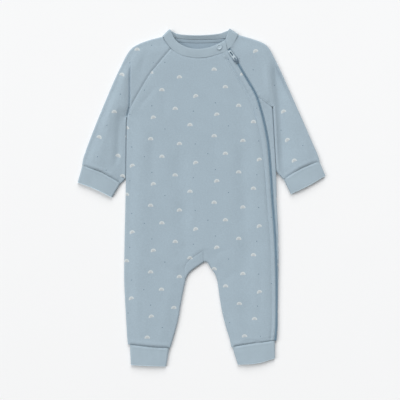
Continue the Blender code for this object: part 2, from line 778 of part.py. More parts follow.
def add_legs(
    wall: Wall, layer: Layer, trunk: tuple, right_line: np.ndarray, face: Callable, angles: tuple
) -> None:
    """Both legs of a layer, from the trunk's lowest row to their hems, turned round their edges."""
    garment = layer.garment
    top = row(trunk, 0)[0][:, :2]
    side = garment.left_side
    _, arch_ways = layer.arch_feet()
    outer = layer.side(side, 1.0, at_y(side, CROTCH_Y), LEG_ROWS, 1.0)
    left_inner = layer.inseam_feet(garment.left_inseam, -1.0, arch_ways[0])
    right_inner = layer.inseam_feet(garment.right_inseam, 1.0, arch_ways[-1])
    legs = (
        (LEFT_HEM, top[: layer.leg_columns + 1], beside(outer), beside(left_inner)),
        (RIGHT_HEM, top[-layer.leg_columns - 1 :], beside(right_inner), right_line),
    )
    nets = []
    for hem, high, left, right in legs:
        left, right = left.copy(), right.copy()
        left[-1], right[-1] = high[0], high[-1]
        nets.append(face(net(layer.hem(hem, left[0], right[0]), high, left, right)))
        wall.add(nets[-1])
    wall.add(joined(turn(*outer, EDGE_RADIUS, angles), column(nets[0], 0)))
    wall.add(joined(turn(*left_inner, EDGE_RADIUS, angles), column(nets[0], -1)))
    wall.add(joined(turn(*right_inner, EDGE_RADIUS, angles), column(nets[1], 0)))


def strip_rows(garment: Garment) -> tuple:
    """For each row of the strip beside the zip: its foot on the edge, the zip's side and the way under."""
    side = garment.right_side
    crotch = at_y(side, CROTCH_Y)
    legs = np.linspace(1.0, crotch, LEG_ROWS + 1)
    trunk = np.linspace(crotch, 0.0, LOWER_ROWS + 1)[1:]
    feet = along(side, np.concatenate((legs, trunk)))
    under = np.tile((-1.0, 0.0), (len(feet), 1))
    raglan = smooth_line(RAGLAN_BACK_RIGHT)
    up_raglan = along(raglan, (SIDE_STRIP_UNDER / lengths(raglan)[-1],))[0] - feet[-1]
    under[-1] = up_raglan / np.linalg.norm(up_raglan)
    return feet, zip_rows(garment, ZIP_WIDTH / 2)[: len(feet)], under


def side_strip(garment: Garment) -> Wall:
    """The strip beside the zip, which turns round the right edge to a seam under the body."""
    feet, by_zip, under = strip_rows(garment)
    by_zip[-1] += (0.0, -SEAM_GAP)
    offset = by_zip - feet
    apart = np.linalg.norm(offset, axis=1)
    ways = offset / apart[:, None]
    below = (-QUARTER_TURN / 2, -QUARTER_TURN, EDGE_RADIUS - QUARTER_TURN - SIDE_STRIP_UNDER)
    outer, inner = [], []
    for foot, way, down, run in zip(feet, ways, under, over_edge(apart)):
        spots = [strip_spot(garment, foot, way, s) for s in np.linspace(run, 0.0, STRIP_COLUMNS + 1)]
        spots += [strip_spot(garment, foot, down, s) for s in below]
        outer.append([spot[0] for spot in spots])
        inner.append([spot[1] for spot in spots])
    wall = Wall()
    wall.add((np.array(outer), np.array(inner)))
    return wall


def strip_spot(garment: Garment, foot: np.ndarray, way: np.ndarray, run: float) -> tuple:
    """The outer and inner point at a distance over the cloth from the right edge, a negative one underneath."""
    if abs(run) < QUARTER_TURN:
        faces = turn(foot[None], way[None], EDGE_RADIUS, (math.degrees(run / EDGE_RADIUS),))
        return faces[0][0, 0], faces[1][0, 0]
    plan = (foot + way * (abs(run) - QUARTER_TURN + EDGE_RADIUS))[None]
    faces = garment.upper(plan) if run > 0 else garment.lower(plan)
    return faces[0][0], faces[1][0]


def back_body(garment: Garment) -> Wall:
    """The back body, from the neck to both hems, flat on the surface."""
    layer = Layer(garment, BACK_LEG_COLUMNS, BACK_ARCH_COLUMNS)
    raglan = raglan_rows(RAGLAN_BACK_LEFT, -SEAM_GAP / 2, EDGE_RADIUS, UPPER_ROWS)
    feet, ways, left = side_with_raglan(layer, raglan)
    strip_feet, _, under = strip_rows(garment)
    seam = strip_feet + under * (SIDE_STRIP_UNDER + SEAM_GAP)
    other = raglan_rows(RAGLAN_BACK_RIGHT, SEAM_GAP / 2, SIDE_STRIP_UNDER + SEAM_GAP, UPPER_ROWS)
    right = np.vstack((seam[LEG_ROWS:-1], other))
    low = layer.low_line(left[0], right[0])
    neck = smooth_line(NECK_BACK)
    _, at = nearest_on(neck, np.array((left[-1], right[-1])))
    high = along(neck, at[0] + (at[1] - at[0]) * lengths(low) / lengths(low)[-1])
    high[0], high[-1] = left[-1], right[-1]
    trunk = garment.lower(net(low, high, left, right))
    wall = Wall()
    wall.add(trunk)
    angles = (-EDGE_GAP_DEG, -HALF_TURN_DEG)
    side = column(part(trunk, slice(0, LOWER_ROWS + 1), slice(None)), 0)
    wall.add(joined(turn(feet, ways, EDGE_RADIUS, angles), side))
    first, last = BACK_LEG_COLUMNS, BACK_LEG_COLUMNS + BACK_ARCH_COLUMNS
    over_arch = row(part(trunk, slice(None), slice(first, last + 1)), 0)
    wall.add(joined(turn(*layer.arch_feet(), EDGE_RADIUS, angles), over_arch))
    add_legs(wall, layer, trunk, seam[: LEG_ROWS + 1], garment.lower, angles)
    return wall


@dataclass(frozen=True)
class SleeveLines:
    """What one sleeve's nets run between. The inner lines go from the neck to the armpit on each layer."""

    outer: np.ndarray
    inner: np.ndarray
    armpit_y: float
    leaves_y: float
    wrist: tuple
    front_neck: np.ndarray
    back_neck: np.ndarray
    front_seam: np.ndarray
    back_seam: np.ndarray
    inward: float


def sleeve(garment: Garment, lines: SleeveLines) -> Wall:
    """A raglan sleeve: open along the body's seams above the armpit, and closed round below it."""
    upper_rows = len(lines.front_seam)
    stops = (0.0, at_y(lines.outer, lines.armpit_y), at_y(lines.outer, lines.leaves_y), 1.0)
    counts = (upper_rows, SLEEVE_ROWS, WRIST_ROWS)
    fractions = np.concatenate([np.linspace(a, b, n + 1)[1:] for a, b, n in zip(stops, stops[1:], counts)])
    fractions = np.concatenate(((0.0,), fractions))
    outer_feet = along(lines.outer, fractions)
    outer_ways = along_with(lines.outer, left_normals(lines.outer) * lines.inward, fractions)
    leaves = lines.inner[-1]
    wrist_inner = np.array(lines.wrist[-1])
    below_leaves = even(np.array((leaves, wrist_inner)), WRIST_ROWS)[1:]
    inner_feet = np.vstack((even(lines.inner, SLEEVE_ROWS), below_leaves))
    inner_ways = left_normals(inner_feet) * -lines.inward
    layers = (
        (garment.upper, lines.front_neck, lines.front_seam, 1.0),
        (garment.lower, lines.back_neck, lines.back_seam, -1.0),
    )
    wall = Wall()
    for face, neck, seam, sign in layers:
        near_ways = outer_ways.copy()
        neck_way = (neck[-1] - neck[0]) / np.linalg.norm(neck[-1] - neck[0])
        for k, share in enumerate(NECK_WAY_SHARES):
            near_ways[k] = near_ways[k] * (1 - share) + neck_way * share
        armpit_ways = inner_ways.copy()
        armpit_ways[0] = (-lines.inward * ARMPIT_WAY[0], ARMPIT_WAY[1])
        seam = np.vstack((seam, inner_feet[0] + armpit_ways[0] * TUCKED_RADIUS))
        left = outer_feet + near_ways * EDGE_RADIUS
        right = np.vstack((seam, (inner_feet + armpit_ways * TUCKED_RADIUS)[1:]))
        high = along(neck, np.linspace(EDGE_RADIUS / lengths(neck)[-1], 1.0, SLEEVE_COLUMNS + 1))
        high[0], high[-1] = left[0], right[0]
        low = even(smooth_line(lines.wrist), SLEEVE_COLUMNS)
        low[0], low[-1] = left[-1], right[-1]
        laid = face(net(low, high, left[::-1], right[::-1]))
        wall.add(laid)
        outer_turn = turn(outer_feet[::-1], near_ways[::-1], EDGE_RADIUS, (0.0, HALF_TURN_DEG * sign))
        wall.add(joined(outer_turn, column(laid, 0)))
        inner_turn = turn(inner_feet[::-1], armpit_ways[::-1], TUCKED_RADIUS, (0.0, HALF_TURN_DEG * sign))
        below = slice(0, SLEEVE_ROWS + WRIST_ROWS + 1)
        wall.add(joined(inner_turn, column(part(laid, below, slice(None)), -1)))
    return wall


def left_sleeve(garment: Garment) -> Wall:
    """The sleeve at the viewer's left, the wearer's right."""
    neck, back = smooth_line(NECK_FRONT), smooth_line(NECK_BACK)
    seam = raglan_rows(RAGLAN_LEFT, SEAM_GAP / 2, EDGE_RADIUS, UPPER_ROWS)[::-1]
    back_seam = raglan_rows(RAGLAN_BACK_LEFT, SEAM_GAP / 2, EDGE_RADIUS, UPPER_ROWS)[::-1]
    _, front_at = nearest_on(neck, seam[:1])
    _, back_at = nearest_on(back, back_seam[:1])
    lines = SleeveLines(
        outer=garment.left_sleeve_outer,
        inner=garment.left_sleeve_inner,
        armpit_y=SLEEVE_LEFT_AT_ARMPIT_Y,
        leaves_y=SLEEVE_LEFT_AT_LEAVES_Y,
        wrist=WRIST_LEFT,
        front_neck=between(neck, 0.0, front_at[0], SLEEVE_COLUMNS),
        back_neck=between(back, 0.0, back_at[0], SLEEVE_COLUMNS),
        front_seam=seam,
        back_seam=back_seam,
        inward=1.0,
    )
    return sleeve(garment, lines)


def right_sleeve(garment: Garment) -> Wall:
    """The sleeve at the viewer's right, the wearer's left; the zip borders it down to the strip's top."""
    neck, back = smooth_line(NECK_FRONT_RIGHT), smooth_line(NECK_BACK)[::-1]
    by_zip = zip_rows(garment, ZIP_WIDTH / 2)[LEG_ROWS + LOWER_ROWS :][::-1]
    foot = garment.right_sleeve_inner[0]
    down = foot - by_zip[-1]
    stop = 1.0 - EDGE_RADIUS / np.linalg.norm(down)
    by_strip = by_zip[-1] + down * np.linspace(0.0, stop, RAGLAN_RIGHT_ROWS + 1)[:, None]
    seam = np.vstack((by_zip, by_strip[1:]))
    back_seam = raglan_rows(RAGLAN_BACK_RIGHT, -SEAM_GAP, EDGE_RADIUS, UPPER_ROWS + RAGLAN_RIGHT_ROWS)[::-1]
    _, back_at = nearest_on(back, back_seam[:1])
    lines = SleeveLines(
        outer=garment.right_sleeve_outer,
        inner=garment.right_sleeve_inner,
        armpit_y=SLEEVE_RIGHT_AT_ARMPIT_Y,
        leaves_y=SLEEVE_RIGHT_AT_LEAVES_Y,
        wrist=WRIST_RIGHT,
        front_neck=np.vstack((neck[::-1], seam[:1])),
        back_neck=between(back, 0.0, back_at[0], SLEEVE_COLUMNS),
        front_seam=seam,
        back_seam=back_seam,
        inward=-1.0,
    )
    return sleeve(garment, lines)


def cuff(start: tuple, end: tuple, take_in: tuple[float, float]) -> Wall:
    """A rib cuff: a flat tube from the seam to its open end, drawn in a little at its two corners."""
    first = smooth_line(start)
    last = smooth_line(end)
    total = lengths(first)[-1]
    first = between(first, take_in[0] / total, 1.0 - take_in[1] / total, CUFF_LINE_SPANS)
    down = last.mean(axis=0) - first.mean(axis=0)
    first = first + down / np.linalg.norm(down) * SEAM_GAP
    margin = EDGE_RADIUS / lengths(last)[-1]
    columns = np.concatenate(((0.0,), np.linspace(margin, 1.0 - margin, CUFF_COLUMNS + 1), (1.0,)))
    lines = [along(first, columns), along(last, columns)]
    plan = np.array([lines[0] + (lines[1] - lines[0]) * t for t in np.linspace(0.0, 1.0, CUFF_ROWS + 1)])
    laid = plan[:, 1:-1]
    from_side = np.minimum(
        np.linalg.norm(laid - plan[:, :1], axis=2), np.linalg.norm(laid - plan[:, -1:], axis=2)
    )
    z = 2 * EDGE_RADIUS + CUFF_CROWN * ease((from_side - EDGE_RADIUS) / CUFF_CROWN_RUN)
    upper = tuple(np.concatenate((laid, (z - drop)[..., None]), axis=2) for drop in (0.0, CLOTH))
    lower = Garment.lower(laid)
    wall = Wall()
    for layer, sign in ((upper, 1.0), (lower, -1.0)):
        wall.add(layer)
        for edge, near in ((0, 0), (-1, -1)):
            ways = (laid[:, near] - plan[:, edge]) / EDGE_RADIUS
            turned = turn(plan[:, edge], ways, EDGE_RADIUS, (0.0, HALF_TURN_DEG * sign))
            wall.add(joined(turned, column(layer, near)))
    return wall


def fold_rows(fold: tuple, neck_ends: tuple, inward: float, degrees: tuple) -> np.ndarray:
    """Rows across the neckband where it folds over at a shoulder: for each angle, its seam and free ends.

    The neck's ends are where its seam meets the raglan seams in front and behind. The third point of a row
    is the way out of the cloth at the seam.
    """
    seam, free = np.array(fold)
    way = (free - seam) / np.linalg.norm(free - seam)
    across = np.array((way[1], -way[0])) * inward
    toward = [(np.array(end) - seam) / np.linalg.norm(np.array(end) - seam) for end in neck_ends]
    rows = []
    for angle in np.radians(degrees):
        ends = []
        seam_way = toward[0] if angle > 0 else toward[1]
        points = ((seam + way * SHOULDER_GAP, seam_way, 0.0), (free, across, BAND_FRONT_RISE))
        for point, turned, rise in points:
            radius = (BAND_FRONT_Z + rise - BAND_BACK_Z) / 2
            plan = point + turned * radius * (1.0 - math.cos(angle))
            ends.append((*plan, BAND_BACK_Z + radius * (1.0 + math.sin(angle))))
        rows.append((*ends, (*(-seam_way * math.cos(angle)), math.sin(angle))))
    return np.array(rows)


def band_rows(lines: tuple, spans: int, heights: tuple, out: float) -> np.ndarray:
    """Rows across a stretch of the neckband between its seam and its free edge.

    Each line has its height at its start and end, and how much more it has in the middle. The third point of
    a row is the way out of the cloth at the seam: up in front, down behind.
    """
    share = np.linspace(0.0, 1.0, spans + 1)
    rows = []
    for line, (start, end, rise) in zip(lines, heights):
        z = start + (end - start) * share + rise * np.sin(np.pi * share) ** BAND_RISE_POWER
        rows.append(np.column_stack((even(line, spans), z)))
    rows.append(np.tile((0.0, 0.0, out), (spans + 1, 1)))
    return np.stack(rows, axis=1)


def neckband() -> Wall:
    """The neckband: from its lapped front end over the left shoulder, behind the neck and round to the zip."""
    left_ends = (RAGLAN_LEFT[-1], RAGLAN_BACK_LEFT[-1])
    right_ends = (NECK_FRONT_RIGHT[0], RAGLAN_BACK_RIGHT[-1])
    over = (90.0, HALF_TURN_DEG, 0.0, -HALF_TURN_DEG, -90.0)
    left_turn = fold_rows(SHOULDER_FOLD_LEFT, left_ends, 1.0, over)
    right_turn = fold_rows(SHOULDER_FOLD_RIGHT, right_ends, -1.0, over[::-1])
    front_seam = moved(smooth_line(NECK_FRONT), SEAM_GAP)
    front_seam = front_seam[front_seam[:, 0] < BAND_END_X][::-1]
    near_fold = np.linalg.norm(front_seam - left_turn[0, 0, :2], axis=1).argmin()
    front_seam = np.vstack((front_seam[:near_fold], left_turn[:1, 0, :2]))
    front_free = np.vstack((smooth_line(BAND_FREE_FRONT[:-1]), left_turn[:1, 1, :2]))
    back_seam = moved(smooth_line(NECK_BACK), SEAM_GAP)
    back_from, back_to = left_turn[-1, 0, 0] + BAND_CLEAR, right_turn[0, 0, 0] - BAND_CLEAR
    keep = (back_seam[:, 0] > back_from) & (back_seam[:, 0] < back_to)
    back_seam = np.vstack((left_turn[-1:, 0, :2], back_seam[keep], right_turn[:1, 0, :2]))
    free_line = smooth_line(BAND_FREE_BACK[1:-1])
    back_free = np.vstack((left_turn[-1:, 1, :2], free_line, right_turn[:1, 1, :2]))
    by_zip = smooth_line(NECK_FRONT_RIGHT)[-2::-1] - (2 * SEAM_GAP, 0.0)
    right_seam = np.vstack((right_turn[-1:, 0, :2], by_zip, BAND_OVER_ZIP))
    right_free = np.vstack((right_turn[-1:, 1, :2], smooth_line(BAND_FREE_RIGHT[1:])))
    flat = (BAND_FRONT_Z, BAND_FRONT_Z, 0.0)
    raised = (BAND_FRONT_Z + BAND_FRONT_RISE, BAND_FRONT_Z + BAND_FRONT_RISE, 0.0)
    low, standing = (BAND_BACK_Z, BAND_BACK_Z, 0.0), (BAND_BACK_Z, BAND_BACK_Z, BAND_BACK_RISE)
    front = band_rows((front_seam, front_free), BAND_FRONT_SPANS, (flat, raised), 1.0)
    back = band_rows((back_seam, back_free), BAND_BACK_SPANS, (low, standing), -1.0)
    right = band_rows((right_seam, right_free), BAND_RIGHT_SPANS, (flat, raised), 1.0)
    rows = np.vstack((front, left_turn[1:], back[1:], right_turn[1:], right[1:]))
    ends, seam_out = rows[:, :2], rows[:, 2]
    across = np.linspace(0.0, 1.0, BAND_COLUMNS + 1)[None, :, None]
    middle = ends[:, :1] * (1 - across) + ends[:, 1:] * across
    way_round = np.gradient(middle, axis=0)
    way_across = np.gradient(middle, axis=1)
    normal = np.cross(way_across, way_round)
    normal /= np.linalg.norm(normal, axis=2, keepdims=True)
    normal[:, 0] = seam_out
    bulge = BAND_CROWN * np.sin(np.pi * across) * np.maximum(normal[..., 2:], 0.0)
    wall = Wall()
    wall.add((middle + normal * (BAND_WALL / 2 + bulge), middle - normal * BAND_WALL / 2))
    return wall


def neck_tape() -> Wall:
    """The narrow tape over the back neck seam, on the inside of the back."""
    seam = smooth_line(NECK_BACK)
    seam = seam[(seam[:, 0] > NECK_TAPE_FROM) & (seam[:, 0] < NECK_TAPE_TO)]
    distances = (NECK_TAPE_BELOW, NECK_TAPE_BELOW + NECK_TAPE_WIDTH)
    plan = np.stack([even(moved(seam, -distance), NECK_TAPE_SPANS) for distance in distances])
    bottom = np.full((*plan.shape[:2], 1), CLOTH + SEAM_GAP)
    top = bottom + NECK_TAPE_WALL
    wall = Wall()
    wall.add((np.concatenate((plan, top), axis=2), np.concatenate((plan, bottom), axis=2)))
    return wall


def zip_piece(garment: Garment, distances: tuple, sinks: tuple, thickness: float) -> Wall:
    """A strip along the whole zip: lines at distances from its middle, each sunk below the cloth's face."""
    columns = []
    for distance, sink in zip(distances, sinks):
        outer, inner = garment.upper(zip_rows(garment, distance))
        down = (inner - outer) / CLOTH
        columns.append((outer + down * sink, outer + down * (sink + thickness)))
    wall = Wall()
    wall.add(tuple(np.stack([pair[k] for pair in columns], axis=1) for k in (0, 1)))
    return wall


def outline_plate(name: str, outlines: list, thickness: float) -> bpy.types.Object:
    """A flat plate on its z = 0. The first outline is its edge and the others are holes."""
    bm = bmesh.new()
    for points in outlines:
        ring = [bm.verts.new((x * MM, y * MM, 0.0)) for x, y in points]
        for a, b in zip(ring, ring[1:] + ring[:1]):
            bm.edges.new((a, b))
    bmesh.ops.triangle_fill(bm, use_beauty=True, edges=bm.edges[:])
    raised = bmesh.ops.extrude_face_region(bm, geom=bm.faces[:])
    top = [item for item in raised["geom"] if isinstance(item, bmesh.types.BMVert)]
    bmesh.ops.translate(bm, vec=(0.0, 0.0, thickness * MM), verts=top)
    bmesh.ops.recalc_face_normals(bm, faces=bm.faces)
    mesh = bpy.data.meshes.new(name)
    bm.to_mesh(mesh)
    bm.free()
    plate = bpy.data.objects.new(name, mesh)
    bpy.context.scene.collection.objects.link(plate)
    return plate


def rounded_box(length: float, width: float, radius: float, centre: tuple = (0.0, 0.0)) -> list:
    """The points round a rectangle with rounded corners."""
    points = []
    for quarter, (sx, sy) in enumerate(((1, 1), (-1, 1), (-1, -1), (1, -1))):
        for k in range(CORNER_STEPS + 1):
            angle = math.pi / 2 * (quarter + k / CORNER_STEPS)
            x = sx * (length / 2 - radius) + radius * math.cos(angle)
            y = sy * (width / 2 - radius) + radius * math.sin(angle)
            points.append((centre[0] + x, centre[1] + y))
    return points


def slider_place(garment: Garment) -> Matrix:
    """The slider's own frame: its x along the zip to the neck, its z up, its origin under its middle."""
    line = garment.zip
    at = SLIDER_AT / lengths(line)[-1]
    spot = along(line, (at,))[0]
    ahead = along(line, (max(at - 0.01, 0.0),))[0] - spot
    turned = math.atan2(ahead[1], ahead[0]) + math.radians(SLIDER_TURN_DEG)
    lift = MIDDLE_HEIGHT + SLIDER_LIFT
    move = Matrix.Translation(Vector((spot[0] - ORIGIN_X, spot[1] - ORIGIN_Y, lift)) * MM)
    return move @ Matrix.Rotation(turned, 4, "Z")


def zip_slider(place: Matrix, material: bpy.types.Material) -> bpy.types.Object:
    """The slider's top plate, shield shaped, with the bridge that carries the pull."""
    shield = list(SLIDER_HALF)
    shield += [(x, -y) for x, y in reversed(SLIDER_HALF[1:])]
    slider = outline_plate("zip_slider", [shield], SLIDER_PLATE)
    height = BRIDGE_ROOT + WINDOW_HEIGHT + BRIDGE_BAR
    arch = rounded_box(BRIDGE_LENGTH, height, BRIDGE_CORNER)
    window_length = BRIDGE_LENGTH - 2 * BRIDGE_POST
    window = rounded_box(window_length, WINDOW_HEIGHT, WINDOW_CORNER, (0.0, (BRIDGE_ROOT - BRIDGE_BAR) / 2))
    bridge = outline_plate("bridge", [arch, window], BRIDGE_WIDTH)
    bridge.matrix_world = Matrix.Translation(
        Vector((0.0, BRIDGE_WIDTH / 2, SLIDER_PLATE - BRIDGE_ROOT + height / 2)) * MM
    ) @ Matrix.Rotation(math.pi / 2, 4, "X")
    bridge.hide_render = True
    bridge.display_type = "WIRE"
    union = slider.modifiers.new("bridge", "BOOLEAN")
    union.operation = "UNION"
    union.object = bridge
    bridge.parent = slider
    slider.matrix_world = place
    slider.data.materials.append(material)
    return slider


def zip_pull(place: Matrix, material: bpy.types.Material, garment: bpy.types.Object) -> bpy.types.Object:
    """The pull tab, whose cross bar lies in the bridge's window; its empty stands on the hinge's axis."""
    hinge = bpy.data.objects.new("pull_hinge", None)
    bpy.context.scene.collection.objects.link(hinge)
    hinge.parent = garment
    hinge.matrix_world = place @ Matrix.Translation(Vector((0.0, 0.0, SLIDER_PLATE + WINDOW_HEIGHT / 2)) * MM)
    middle = (PULL_LENGTH - PULL_BAR) / 2
    edge = rounded_box(PULL_LENGTH + PULL_BAR, PULL_WIDTH, PULL_CORNER, (middle, 0.0))
    eye_middle = (PULL_BAR + PULL_EYE_LENGTH) / 2
    eye = rounded_box(PULL_EYE_LENGTH - PULL_BAR, PULL_EYE_WIDTH, PULL_EYE_CORNER, (eye_middle, 0.0))
    hollow_length = PULL_HOLLOW_END - PULL_HOLLOW_START
    hollow_middle = (PULL_HOLLOW_END + PULL_HOLLOW_START) / 2
    hollow = rounded_box(hollow_length, PULL_HOLLOW_WIDTH, PULL_HOLLOW_CORNER, (hollow_middle, 0.0))
    pull = outline_plate("zip_pull", [edge, eye, hollow], PULL_WALL)
    pull.parent = hinge
    tilt = Matrix.Rotation(math.radians(PULL_DROOP_DEG), 4, "Y")
    pull.matrix_local = tilt @ Matrix.Translation(Vector((0.0, 0.0, -PULL_WALL / 2)) * MM)
    pull.data.materials.append(material)
    return pull


def snap_cap(material: bpy.types.Material, garment: bpy.types.Object) -> bpy.types.Object:
    """The press stud's cap on the neckband's front end, turned from its profile."""
    bm = bmesh.new()
    rings = []
    angles = [2 * math.pi * k / SNAP_SIDES for k in range(SNAP_SIDES)]
    for radius, height in SNAP_PROFILE:
        ring = [(radius * math.cos(a) * MM, radius * math.sin(a) * MM, height * MM) for a in angles]
        rings.append([bm.verts.new(point) for point in ring])
    for low, high in zip(rings, rings[1:]):
        for k in range(SNAP_SIDES):
            n = (k + 1) % SNAP_SIDES
            bm.faces.new((low[k], low[n], high[n], high[k]))
    bm.faces.new(rings[-1])
    bm.faces.new(reversed(rings[0]))
    bmesh.ops.recalc_face_normals(bm, faces=bm.faces)
    mesh = bpy.data.meshes.new("snap_cap")
    bm.to_mesh(mesh)
    bm.free()
    mesh.shade_smooth()
    mesh.set_sharp_from_angle(angle=SHARP_EDGE)
    cap = bpy.data.objects.new("snap_cap", mesh)
    bpy.context.scene.collection.objects.link(cap)
    base = BAND_FRONT_Z + BAND_WALL / 2 + BAND_FRONT_RISE + BAND_CROWN + SNAP_LIFT
    cap.location = Vector((SNAP_AT[0] - ORIGIN_X, SNAP_AT[1] - ORIGIN_Y, base)) * MM
    cap.parent = garment
    cap.data.materials.append(material)
    return cap


def material(name: str, colour: tuple, roughness: float, metallic: float) -> bpy.types.Material:
    """A plain surface in the photographed colour, given as linear values."""
    made = bpy.data.materials.new(name)
    made.use_nodes = True
    shader = made.node_tree.nodes["Principled BSDF"]
    shader.inputs["Base Color"].default_value = (*colour, 1.0)
    shader.inputs["Roughness"].default_value = roughness
    shader.inputs["Metallic"].default_value = metallic
    return made


def clear_scene() -> None:
    """Removes whatever the file holds."""
    for old in list(bpy.data.objects):
        bpy.data.objects.remove(old, do_unlink=True)


def main() -> None:
    """Builds every piece under one empty."""
    clear_scene()
    garment = Garment()
    root = bpy.data.objects.new("sleepsuit", None)
    bpy.context.scene.collection.objects.link(root)
    knit = material("knit", (0.38, 0.48, 0.55), 0.9, 0.0)
    rib = material("rib", (0.40, 0.50, 0.57), 0.9, 0.0)
    tape = material("tape", (0.16, 0.25, 0.35), 0.8, 0.0)
    metal = material("metal", (0.45, 0.55, 0.62), 0.35, 0.8)
    front, gusset = gusset_and_front(garment)
    half = ZIP_WIDTH / 2 - SEAM_GAP
    coil = half - TAPE_WIDTH - SEAM_GAP
    tape_lines = (coil + SEAM_GAP, half)
    front_tape_lines = (-half, -coil - SEAM_GAP)
    tape_sinks = (TAPE_SINK, TAPE_SINK)
    coil_lines = (-coil, 0.0, coil)
    coil_sinks = (COIL_SINK, COIL_SINK - COIL_CROWN, COIL_SINK)
    wrist_take_in = (WRIST_TAKE_IN, WRIST_TAKE_IN)
    ankle_take_in = (ANKLE_TAKE_IN_OUTER, ANKLE_TAKE_IN_INNER)
    cloth = (
        ("front_body", front, knit),
        ("crotch_gusset", gusset, knit),
        ("side_strip", side_strip(garment), knit),
        ("back_body", back_body(garment), knit),
        ("sleeve_right", left_sleeve(garment), knit),
        ("sleeve_left", right_sleeve(garment), knit),
        ("cuff_sleeve_right", cuff(WRIST_LEFT, WRIST_LEFT_END, wrist_take_in), rib),
        ("cuff_sleeve_left", cuff(WRIST_RIGHT, WRIST_RIGHT_END, wrist_take_in), rib),
        ("cuff_leg_right", cuff(LEFT_HEM, ANKLE_LEFT_END, ankle_take_in), rib),
        ("cuff_leg_left", cuff(RIGHT_HEM[::-1], ANKLE_RIGHT_END, ankle_take_in), rib),
        ("neckband", neckband(), rib),
        ("neck_tape", neck_tape(), rib),
        ("zip_tape_front", zip_piece(garment, front_tape_lines, tape_sinks, TAPE_WALL), tape),
        ("zip_tape_side", zip_piece(garment, tape_lines, tape_sinks, TAPE_WALL), tape),
        ("zip_coil", zip_piece(garment, coil_lines, coil_sinks, COIL_WALL), tape),
    )
    for name, wall, surface in cloth:
        piece = bpy.data.objects.new(name, wall.mesh(name))
        bpy.context.scene.collection.objects.link(piece)
        piece.parent = root
        piece.data.materials.append(surface)
        piece.data.shade_smooth()
        piece.data.set_sharp_from_angle(angle=SHARP_EDGE)
    place = slider_place(garment)
    slider = zip_slider(place, metal)
    slider.parent = root
    zip_pull(place, metal, root)
    snap_cap(rib, root)


main()
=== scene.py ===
"""A footless baby sleepsuit of printed jersey, laid flat with its zip closed.

Every length is in millimetres on the laid garment until a mesh is made: X runs to the viewer's right (the
wearer's left), Y towards the neck, and Z up from the floor that the garment lies on.
"""

import json
import logging
import math
from collections.abc import Callable, Iterable, Sequence
from dataclasses import dataclass, field
from enum import Enum
from functools import reduce

import bmesh
import bpy
import numpy as np
from bpy.types import ID, Material, Mesh, Node, NodeSocket, NodeTree, Object
from mathutils import Matrix, Vector
from numpy.linalg import norm

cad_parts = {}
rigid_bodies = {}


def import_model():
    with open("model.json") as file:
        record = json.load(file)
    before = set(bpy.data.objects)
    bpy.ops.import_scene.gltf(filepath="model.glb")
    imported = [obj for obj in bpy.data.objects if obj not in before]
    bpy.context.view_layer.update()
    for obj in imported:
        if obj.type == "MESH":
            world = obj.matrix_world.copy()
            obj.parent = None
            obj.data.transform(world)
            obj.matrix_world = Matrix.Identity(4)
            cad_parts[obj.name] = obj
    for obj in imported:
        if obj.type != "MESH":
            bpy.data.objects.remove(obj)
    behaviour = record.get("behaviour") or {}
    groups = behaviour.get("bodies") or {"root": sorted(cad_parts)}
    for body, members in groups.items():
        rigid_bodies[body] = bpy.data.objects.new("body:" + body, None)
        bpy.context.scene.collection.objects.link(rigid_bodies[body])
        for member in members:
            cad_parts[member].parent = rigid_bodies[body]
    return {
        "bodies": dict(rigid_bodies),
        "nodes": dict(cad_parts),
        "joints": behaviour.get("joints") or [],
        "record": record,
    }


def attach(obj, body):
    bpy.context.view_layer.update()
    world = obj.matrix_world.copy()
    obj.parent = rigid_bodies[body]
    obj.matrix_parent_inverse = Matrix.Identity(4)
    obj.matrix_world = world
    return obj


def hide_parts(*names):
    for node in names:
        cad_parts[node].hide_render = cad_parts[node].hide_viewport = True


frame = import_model()
log = logging.getLogger("sleepsuit")

Points = np.ndarray
Pair = tuple[float, float]
Triple = tuple[float, float, float]
Table = Sequence[Pair]

MM = 0.001
MIDDLE_Y = 0.257  # the outline's middle, which is the origin
GARMENT = "garment"
PULL_TAB = "pull_tab"

# Cloth.
CLOTH = 1.4  # the knit's thickness
RIB_CLOTH = 2.0  # of the folded rib
RIB_PITCH = 1.5
SEAM_GAP = 0.3
NECK_GAP = 0.12
EDGE_RADIUS = 3.0
INNER_RADII = (2.4, 3.4)  # of the sleeves' inner folds, left and right
MIDDLE_HEIGHT = 7.8
CROWN_RUN = 24.0
SLIT_GAP = 0.5
RIGHT_SLIT_GAP = 0.3
SHOULDER_GAP = 0.6
ARMPIT_WAY = (0.35, 0.94)
FOLD_FADE = 14.0
QUARTER_TURN = EDGE_RADIUS * math.pi / 2
TURN_DEGREES = (0.0, 18.0, 36.0, 54.0, 72.0)  # rows of points round a folded edge
NECK_WAY_RUN = 34.0
ZIP_WIDTH = 5.0
ZIP_NEAR_EDGE = 12.0
ZIP_NEAR_EDGE_BELOW_Y = 141.0
SIDE_STRIP_UNDER = 12.0
CROTCH_Y = -141.0
LEG_RUN = 122.0  # from there to the hems
LEG_TURN_LEFT = (-7.0, 2.5)  # how far the laid cloth has moved at the hem
LEG_TURN_RIGHT = (3.6, 9.0)
BACK_SHIFT = (40.0, 20.0)  # of the print on the back

# Nets.
LOWER_ROWS = 105
UPPER_ROWS = 48
LEG_ROWS = 48
LEG_COLUMNS = 36
ARCH_COLUMNS = 24
GUSSET_ROWS = 7
SLEEVE_ROWS = 45
WRIST_ROWS = 10
SLEEVE_COLUMNS = 100
SLEEVE_UPPER_ROWS = 96
RAGLAN_RIGHT_ROWS = 12
STRIP_COLUMNS = 12

